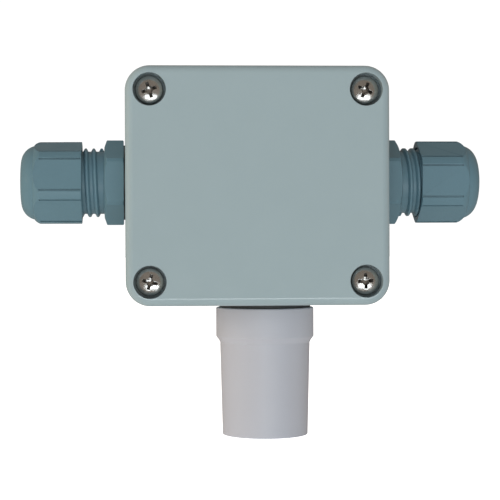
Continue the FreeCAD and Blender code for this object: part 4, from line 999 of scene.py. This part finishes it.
@dataclass
class LidScrew:
    """A pan-headed screw with a cross recess, in metres.

    Attributes:
        head: Radius of the head.
        height: Height of the head.
        side: Height of the head's upright side.
        brow: Radius at which the dome begins.
        brow_height: Height there.
        shank: Radius of the shank's thread.
        length: Seat to tip.
        pitch: Advance of the thread in one turn.
        depth: Depth of the thread.
        span: Cross recess, tip to tip.
        arm: Width of each arm of the cross.
        recess: Depth of the cross recess.
        taper: Size of the recess's floor against its mouth, along and across an arm.
        clearance: How far the cutters stand out of the head.
        lead: Height of the slope at the tip.
        ridge: Where the thread's crest begins and ends and its foot lies, as shares of its pitch.
        plain: Shank without a thread, in pitches.
        neck: Size of the slope between shank and head.
        edge: Rounding of the head's lower edge.
        brow_radius: Radius of the arc from the head's side to the brow.
        crown_radius: Radius of the arc over the top.
        punch_tip: Radius of the punch's tip.
        punch_rim: Radius of the punch at the head's top.
    """

    head: float = 3.4 * MM
    height: float = 2.4 * MM
    side: float = 1.253 * MM
    brow: float = 3.0 * MM
    brow_height: float = 1.837 * MM
    shank: float = 1.95 * MM
    length: float = 15.0 * MM
    pitch: float = 0.7 * MM
    depth: float = 0.3 * MM
    span: float = 4.7 * MM
    arm: float = 0.86 * MM
    recess: float = 1.8 * MM
    taper: Triple = (0.42, 0.7, 1.0)
    clearance: float = 0.6 * MM
    lead: float = 0.5 * MM
    ridge: Triple = (0.4, 0.5, 0.9)
    plain: float = 2.2
    neck: float = 0.15 * MM
    edge: float = 0.22 * MM
    brow_radius: float = 0.63 * MM
    crown_radius: float = 8.28 * MM
    punch_tip: float = 0.5 * MM
    punch_rim: float = 0.95 * MM

    def section(self) -> list[Pair]:
        """Half section of the screw, from the tip's centre round to the head's centre."""
        root, edge = self.shank - self.depth, self.head - self.edge
        height = -self.length + self.lead
        points = [(0.0, -self.length), (root - self.lead / 2, -self.length), (root, height)]
        while height < -self.plain * self.pitch:
            low, high, foot = (height + self.pitch * share for share in self.ridge)
            height += self.pitch
            points += [(self.shank, low), (self.shank, high), (root, foot), (root, height)]
        points += [(root, -self.neck), (root + self.neck, 0.0), (edge, 0.0)]
        points += arc((edge, self.edge), self.edge, -60, 0, 3)
        brow = (self.brow, self.brow_height)
        points += bulge((self.head, self.side), brow, self.brow_radius, 8)
        points += bulge(brow, (0.0, self.height), self.crown_radius, 10)[1:]
        return points

    def cross_arm(self) -> Workpiece:
        """A tapered bar that cuts one pair of the cross's arms."""
        reach = self.recess + self.clearance
        middle = self.height + self.clearance - reach / 2
        bar = Workpiece.block("cross_bar", (self.span, self.arm, reach), (0.0, 0.0, middle))
        mesh = bmesh.from_edit_mesh(bar.item.data)
        for face in mesh.faces:
            face.select_set(face.normal.z < -0.5)
        mesh.select_flush_mode()
        bmesh.update_edit_mesh(bar.item.data)
        bpy.ops.transform.resize(value=self.taper)
        bpy.ops.object.mode_set(mode="OBJECT")
        return bar

    def punch(self) -> Workpiece:
        """The blunt cone that cuts the middle of the cross."""
        floor, lip = self.height - self.recess, self.height + self.clearance / 2
        tip, rim = self.punch_tip, self.punch_rim
        points = [(0.0, floor - tip / 2), (tip, floor), (rim, self.height), (rim, lip), (0.0, lip)]
        return Workpiece.turned("cross_punch", points, steps=32)

    def model(self) -> Workpiece:
        """Models the screw, upright on its seat."""
        piece = Workpiece.turned("cross_screw", self.section(), steps=64)
        arm = self.cross_arm()
        other = arm.twin("other_cross_bar")
        other.settle(Matrix.Rotation(math.pi / 2, 4, "Z"))
        for cutter in (arm, other, self.punch()):
            piece.carve(cutter)
        piece.soften(width=0.07 * MM, angle=38.0)
        piece.smooth(angle=32.0)
        return piece

    def build(self, finish: Material) -> None:
        """Models the screw once and sets a copy in each corner."""
        pattern = self.model()
        for corner in Corner:
            node = f"lid_screw_{corner.word}"
            piece = pattern.twin(f"cross_screw_{corner.word}")
            low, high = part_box(node)
            seat = Vector(((low.x + high.x) / 2, low.y + self.height, (low.z + high.z) / 2))
            forwards = Matrix.Rotation(math.pi / 2, 4, "X")
            turn = Matrix.Rotation(math.radians(corner.value), 4, "Z")
            piece.settle(Matrix.Translation(seat) @ forwards @ turn)
            piece.hand_over(finish, f"screw_{corner.word}", node)
        pattern.discard()


@dataclass
class DomeNut:
    """The nut that closes a gland, in metres; heights run from its rim.

    Attributes:
        turns: The angle at which each nut came to rest, in degrees.
        length: Rim to tip.
        bore: Radius of the straight bore.
        bore_length: Rim to the end of the straight bore.
        half_flats: Axis to a flat.
        rib: Radius of the corner ribs.
        grip: Rim to the ribs' run-out.
        run_out: Length of the run-out.
        shoulder_drop: Flats to the radius at which the dome begins.
        dome: Height of the dome.
        dome_radius: Radius of its arc.
        mouth: Radius of the mouth.
        throat: Radius at which the cone inside ends.
        end_wall: Thickness of the nut's end.
        groove: Depth of the grooves beside each rib.
        groove_width: Width of those grooves.
        rim: Rounding of the rim.
        lip: Rounding of the mouth.
        run_out_radius: Radius of the run-out's arc.
        run_out_sink: How far the run-out ends inside the flats.
    """

    turns: dict[Side, float] = field(default_factory=lambda: {Side.LEFT: 11.0, Side.RIGHT: 0.0})
    length: float = 15.195 * MM
    bore: float = 8.8 * MM
    bore_length: float = 9.8 * MM
    half_flats: float = 9.5 * MM
    rib: float = 10.4 * MM
    grip: float = 10.4 * MM
    run_out: float = 1.5 * MM
    shoulder_drop: float = 0.25 * MM
    dome: float = 3.2 * MM
    dome_radius: float = 4.2 * MM
    mouth: float = 4.35 * MM
    throat: float = 6.25 * MM
    end_wall: float = 1.6 * MM
    groove: float = 0.24 * MM
    groove_width: float = 0.42 * MM
    rim: float = 0.15 * MM
    lip: float = 0.3 * MM
    run_out_radius: float = 3.2 * MM
    run_out_sink: float = 0.05 * MM

    def section(self) -> list[Pair]:
        """Closed half section of the nut."""
        rim, lip = self.rim, self.lip
        shoulder = (self.half_flats - self.shoulder_drop, self.length - self.dome)
        points = [(self.bore + rim, 0.0)]
        points += arc((self.rib - rim, rim), rim, -90, 0, 3)
        run_out = (self.half_flats - self.run_out_sink, self.grip + self.run_out)
        points += [(self.rib, self.grip)]
        points += bulge((self.rib, self.grip), run_out, self.run_out_radius, 5)[1:]
        points += bulge(shoulder, (self.mouth + lip, self.length), self.dome_radius, 14)
        points += arc((self.mouth + lip, self.length - lip), lip, 90, 180, 4)[1:]
        inside = self.length - self.end_wall
        points += [(self.mouth, inside), (self.throat, inside), (self.bore, self.bore_length)]
        points += [(self.bore, rim), (self.bore + rim, 0.0)]
        return points

    def groove_cutter(self) -> Workpiece:
        """Twelve square bars that cut a groove on each side of each rib."""
        foot = math.sqrt(self.rib**2 - self.half_flats**2) - self.groove * 1.3
        length = self.grip + self.groove
        size = (self.groove * 2, self.groove_width, length)
        middle = (self.half_flats, foot, length / 2 - self.groove)
        first = Workpiece.block("groove_bar", size, middle)
        bpy.ops.object.mode_set(mode="OBJECT")
        second = first.twin("groove_bar_beside")
        second.settle(Matrix.Translation((0.0, -2 * foot, 0.0)))
        first.take_in([second])
        pairs = []
        for index in range(1, FLATS):
            pair = first.twin(f"groove_bars_{index}")
            pair.settle(Matrix.Rotation(math.radians(360.0 / FLATS * index), 4, "Z"))
            pairs.append(pair)
        first.take_in(pairs)
        first.settle(Matrix.Rotation(math.radians(FIRST_FLAT), 4, "Z"))
        return first

    def model(self) -> Workpiece:
        """Models the nut, upright on its rim."""
        piece = Workpiece.turned("ribbed_nut", self.section(), steps=144)
        piece.cut_hexagon(self.half_flats)
        piece.carve(self.groove_cutter())
        piece.smooth(angle=14.0)
        return piece

    def build(self, finish: Material) -> None:
        """Models the nut once and sets a copy on each gland."""
        pattern = self.model()
        for side in Side:
            piece = pattern.twin(f"{side.word}_ribbed_nut")
            low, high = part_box(f"{side.word}_dome_nut")
            rim = high.x if side is Side.LEFT else low.x
            axis = Vector((rim, (low.y + high.y) / 2, (low.z + high.z) / 2))
            piece.settle(side.outwards(axis, self.turns[side]))
            piece.hand_over(finish, f"{side.word}_nut", f"{side.word}_dome_nut")
        pattern.discard()


@dataclass
class GlandBody:
    """Hexagon, threaded sleeve and entry thread of a gland, in metres; heights run from the wall.

    Attributes:
        entry: Radius of the entry thread.
        entry_length: Wall to the end of the entry thread.
        washer: Wall to the hexagon.
        hexagon: Height of the hexagon.
        half_flats: Axis to a flat.
        corner: Radius of the hexagon's rounded corners.
        face: Radius of the hexagon's face inside its slope.
        slope: Height of that slope.
        root: Radius of the sleeve under its thread.
        crest: Radius of the thread.
        pitch: Advance of the thread in one turn.
        sleeve: Length of the sleeve.
        seat: Bore of the sleeve.
        shoulder: Wall to the shoulder in the bore, inwards when negative.
        bore: Bore through the entry thread.
        entry_pitch: Advance of the entry thread in one turn.
        entry_depth: Its depth.
        entry_ridge: Where its crest begins and ends, as shares of its pitch.
        entry_lead: Height of the slope at its tip.
        entry_plain: Wall to the last of its ridges.
        edge: Rounding of the edges.
        corner_radius: Radius of the arc at the foot of the face's slope.
        fillet: Size of the slope at the foot of the sleeve.
        sleeve_lead: Size of the slope at the sleeve's end.
        foot: Width of the thread's foot, in pitches.
        crest_half: Half the width of its crest, in pitches.
        sunk: How far the thread's foot lies in the sleeve.
        crest_round: Rounding of the crest: inwards, outside it and inside it.
        facets: Facets round one turn of the thread.
    """

    entry: float = 7.6 * MM
    entry_length: float = 8.0 * MM
    washer: float = 0.4 * MM
    hexagon: float = 4.85 * MM
    half_flats: float = 9.5 * MM
    corner: float = 10.697 * MM
    face: float = 9.0 * MM
    slope: float = 0.5 * MM
    root: float = 7.88 * MM
    crest: float = 8.68 * MM
    pitch: float = 2.0 * MM
    sleeve: float = 10.0 * MM
    seat: float = 7.0 * MM
    shoulder: float = 4.9 * MM
    bore: float = 5.6 * MM
    entry_pitch: float = 1.5 * MM
    entry_depth: float = 0.55 * MM
    entry_ridge: Pair = (0.4, 0.6)
    entry_lead: float = 0.5 * MM
    entry_plain: float = 2.9 * MM
    edge: float = 0.2 * MM
    corner_radius: float = 0.6 * MM
    fillet: float = 0.15 * MM
    sleeve_lead: float = 0.3 * MM
    foot: float = 0.72
    crest_half: float = 0.14
    sunk: float = 0.12 * MM
    crest_round: Triple = (0.12 * MM, 0.03 * MM, 0.09 * MM)
    facets: int = 96

    def entry_section(self) -> list[Pair]:
        """Ridges of the entry thread, from its tip to the wall."""
        root, pitch = self.entry - self.entry_depth, self.entry_pitch
        points = [(root - self.entry_lead / 2, -self.entry_length)]
        height = -self.entry_length + self.entry_lead
        while height < -self.entry_plain - pitch:
            low, high = (height + pitch * share for share in self.entry_ridge)
            points += [(root, height), (self.entry, low), (self.entry, high)]
            height += pitch
        points += [(root, height), (self.entry, height + self.entry_depth)]
        return points

    def section(self) -> list[Pair]:
        """Closed half section without the sleeve's thread."""
        top, edge, fillet = self.washer + self.hexagon, self.edge, self.fillet
        end, shade = top + self.sleeve, top - self.slope
        corner = (self.corner, shade - edge)
        points = [(self.bore, -self.entry_length)] + self.entry_section()
        points += [(self.entry, self.washer), (self.corner - edge, self.washer)]
        points += [(self.corner, self.washer + edge), corner]
        brink = (self.corner - edge * 2, shade + edge * 0.2)
        points += bulge(corner, brink, self.corner_radius, 3)[1:]
        points += [(self.face, top), (self.root + fillet, top), (self.root, top + fillet)]
        points += [(self.root, end - self.sleeve_lead), (self.root - self.sleeve_lead, end)]
        points += [(self.seat + edge, end), (self.seat, end - edge), (self.seat, self.shoulder)]
        points += [(self.bore, self.shoulder), (self.bore, -self.entry_length)]
        return points

    def ridge(self) -> list[Pair]:
        """Closed section of the thread's ridge at the foot of the sleeve."""
        inwards, outside, inside = self.crest_round
        foot, half = self.foot * self.pitch, self.crest_half * self.pitch
        sunk, shy = self.root - self.sunk, self.crest - inwards
        middle = self.washer + self.hexagon + foot / 2
        points = [(sunk, middle - foot / 2), (shy, middle - half - outside)]
        points += [(self.crest, middle - half + inside), (self.crest, middle + half - inside)]
        points += [(shy, middle + half + outside), (sunk, middle + foot / 2)]
        return points + points[:1]

    def thread(self) -> Workpiece:
        """Winds the ridge round the sleeve, into a closed solid."""
        piece = Workpiece.drawn("sleeve_thread", self.ridge())
        bpy.ops.mesh.remove_doubles(threshold=WELD)
        bpy.ops.object.mode_set(mode="OBJECT")
        turns = (self.sleeve - self.foot * self.pitch - self.sleeve_lead) / self.pitch
        piece.apply(
            "SCREW", angle=2 * math.pi * turns, screw_offset=self.pitch * turns,
            steps=int(self.facets * turns), render_steps=int(self.facets * turns),
            axis="Z", use_merge_vertices=False,
        )
        bpy.ops.object.mode_set(mode="EDIT")
        bpy.ops.mesh.select_all(action="DESELECT")
        bpy.ops.mesh.select_mode(type="EDGE")
        bpy.ops.mesh.select_non_manifold(
            extend=False, use_wire=False, use_boundary=True, use_multi_face=False,
            use_non_contiguous=False, use_verts=False,
        )
        bpy.ops.mesh.edge_face_add()
        piece.close_up()
        return piece

    def model(self) -> Workpiece:
        """Models the body, with the wall's outer face at height 0."""
        piece = Workpiece.turned("threaded_body", self.section(), steps=144)
        piece.cut_hexagon(self.half_flats)
        piece.carve(self.thread(), "UNION")
        piece.smooth(angle=14.0)
        return piece

    def build(self, finish: Material) -> None:
        """Models the body once and screws a copy into each side."""
        pattern = self.model()
        for side in Side:
            node = f"{side.word}_gland_body"
            piece = pattern.twin(f"{side.word}_threaded_body")
            low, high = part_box(node)
            tip = high.x if side is Side.LEFT else low.x
            wall = tip + side.value * self.entry_length
            piece.settle(side.outwards(Vector((wall, (low.y + high.y) / 2, (low.z + high.z) / 2))))
            piece.hand_over(finish, "base", node)
        pattern.discard()


@dataclass
class Spigot:
    """The tapered pipe spigot, in metres; depths run down from the box.

    Attributes:
        washer: Box to the collar.
        collar: Radius of the collar.
        collar_end: Box to the collar's lower edge.
        slope: Height of the slope below it.
        top: Radius just below the collar.
        tip: Radius at the end.
        end: Box to the end.
        bore: Bore of the spigot.
        roof: Plastic above the bore.
        neck: Radius of the neck's thread.
        neck_length: Box to the neck's end.
        neck_bore: Bore of the neck.
        edge: Rounding of the edges.
        lead: Size of the slope at the neck's end.
        fillet: Where the arc between slope and taper begins and ends, outwards and down.
        fillet_radius: Radius of that arc.
    """

    washer: float = 1.2 * MM
    collar: float = 12.4 * MM
    collar_end: float = 8.8 * MM
    slope: float = 1.0 * MM
    top: float = 11.4 * MM
    tip: float = 10.8 * MM
    end: float = 33.5 * MM
    bore: float = 9.0 * MM
    roof: float = 3.0 * MM
    neck: float = 7.6 * MM
    neck_length: float = 8.0 * MM
    neck_bore: float = 5.8 * MM
    edge: float = 0.35 * MM
    lead: float = 0.5 * MM
    fillet: tuple[Pair, Pair] = ((0.25 * MM, -0.25 * MM), (-0.01 * MM, 0.3 * MM))
    fillet_radius: float = 2.0 * MM

    def section(self) -> list[Pair]:
        """Closed half section of the spigot."""
        edge, lead, inside = self.edge, self.lead, self.washer + self.roof
        foot = self.collar_end + self.slope
        begin, finish = ((self.top + out, foot + down) for out, down in self.fillet)
        points = [(self.neck_bore, -self.neck_length), (self.neck - lead, -self.neck_length)]
        points += [(self.neck, -self.neck_length + lead), (self.neck, self.washer)]
        points += arc((self.collar - edge, self.washer + edge), edge, -90, 0, 4)
        points += arc((self.collar - edge, self.collar_end - edge), edge, 0, 45, 3)
        points += bulge(begin, finish, self.fillet_radius, 3)
        points += arc((self.tip - edge / 2, self.end - edge / 2), edge / 2, 0, 90, 5)
        points += arc((self.bore + edge, self.end - edge), edge, 90, 180, 4)
        points += [(self.bore, inside), (self.neck_bore, inside), points[0]]
        return points

    def build(self, finish: Material) -> None:
        """Models the spigot and sets it under the box."""
        piece = Workpiece.turned("pipe_spigot", self.section(), steps=160)
        piece.smooth(angle=25.0)
        low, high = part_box("spigot")
        top = Vector(((low.x + high.x) / 2, (low.y + high.y) / 2, low.z + self.end))
        piece.settle(Matrix.Translation(top) @ Matrix.Rotation(math.pi, 4, "X"))
        piece.hand_over(finish, "base", "spigot")


@dataclass
class Shell:
    """A moulded half of the box, whose edges are softened as a mould softens them.

    Attributes:
        node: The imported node.
        body: The body that it rides on.
        edge: Width of the softened edges, in metres.
    """

    node: str
    body: str
    edge: float = 0.12 * MM

    def build(self, finish: Material) -> None:
        """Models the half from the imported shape."""
        piece = Workpiece.merged_copy(f"moulded_{self.node}", self.node)
        piece.soften(width=self.edge, angle=50.0)
        piece.smooth(angle=24.0)
        piece.hand_over(finish, self.body, self.node)


def dress_cad(materials: dict[str, Material]) -> None:
    """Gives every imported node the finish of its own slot.

    Args:
        materials: The finishes, by slot.
    """
    longest_first = sorted(materials, key=len, reverse=True)
    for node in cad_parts.values():
        for place in node.material_slots:
            words = place.material.name if place.material else ""
            found = next((slot for slot in longest_first if slot in words), None)
            if found:
                place.material = materials[found]


def main() -> None:
    """Builds the finishes, the pieces and the studio."""
    logging.basicConfig(level=logging.INFO, format="%(name)s: %(message)s")
    shelf = EffectShelf()
    materials = {finish.slot: finish.material(shelf) for finish in FINISHES}
    dress_cad(materials)
    LidScrew().build(materials["screw_steel"])
    for part in (DomeNut(), GlandBody()):
        part.build(materials["gland_plastic"])
    Spigot().build(materials["spigot_plastic"])
    Shell("lid", "lid").build(materials["box_plastic"])
    Shell("box_base", "base").build(materials["box_plastic"])
    Studio().build()


if __name__ == "__main__":
    main()
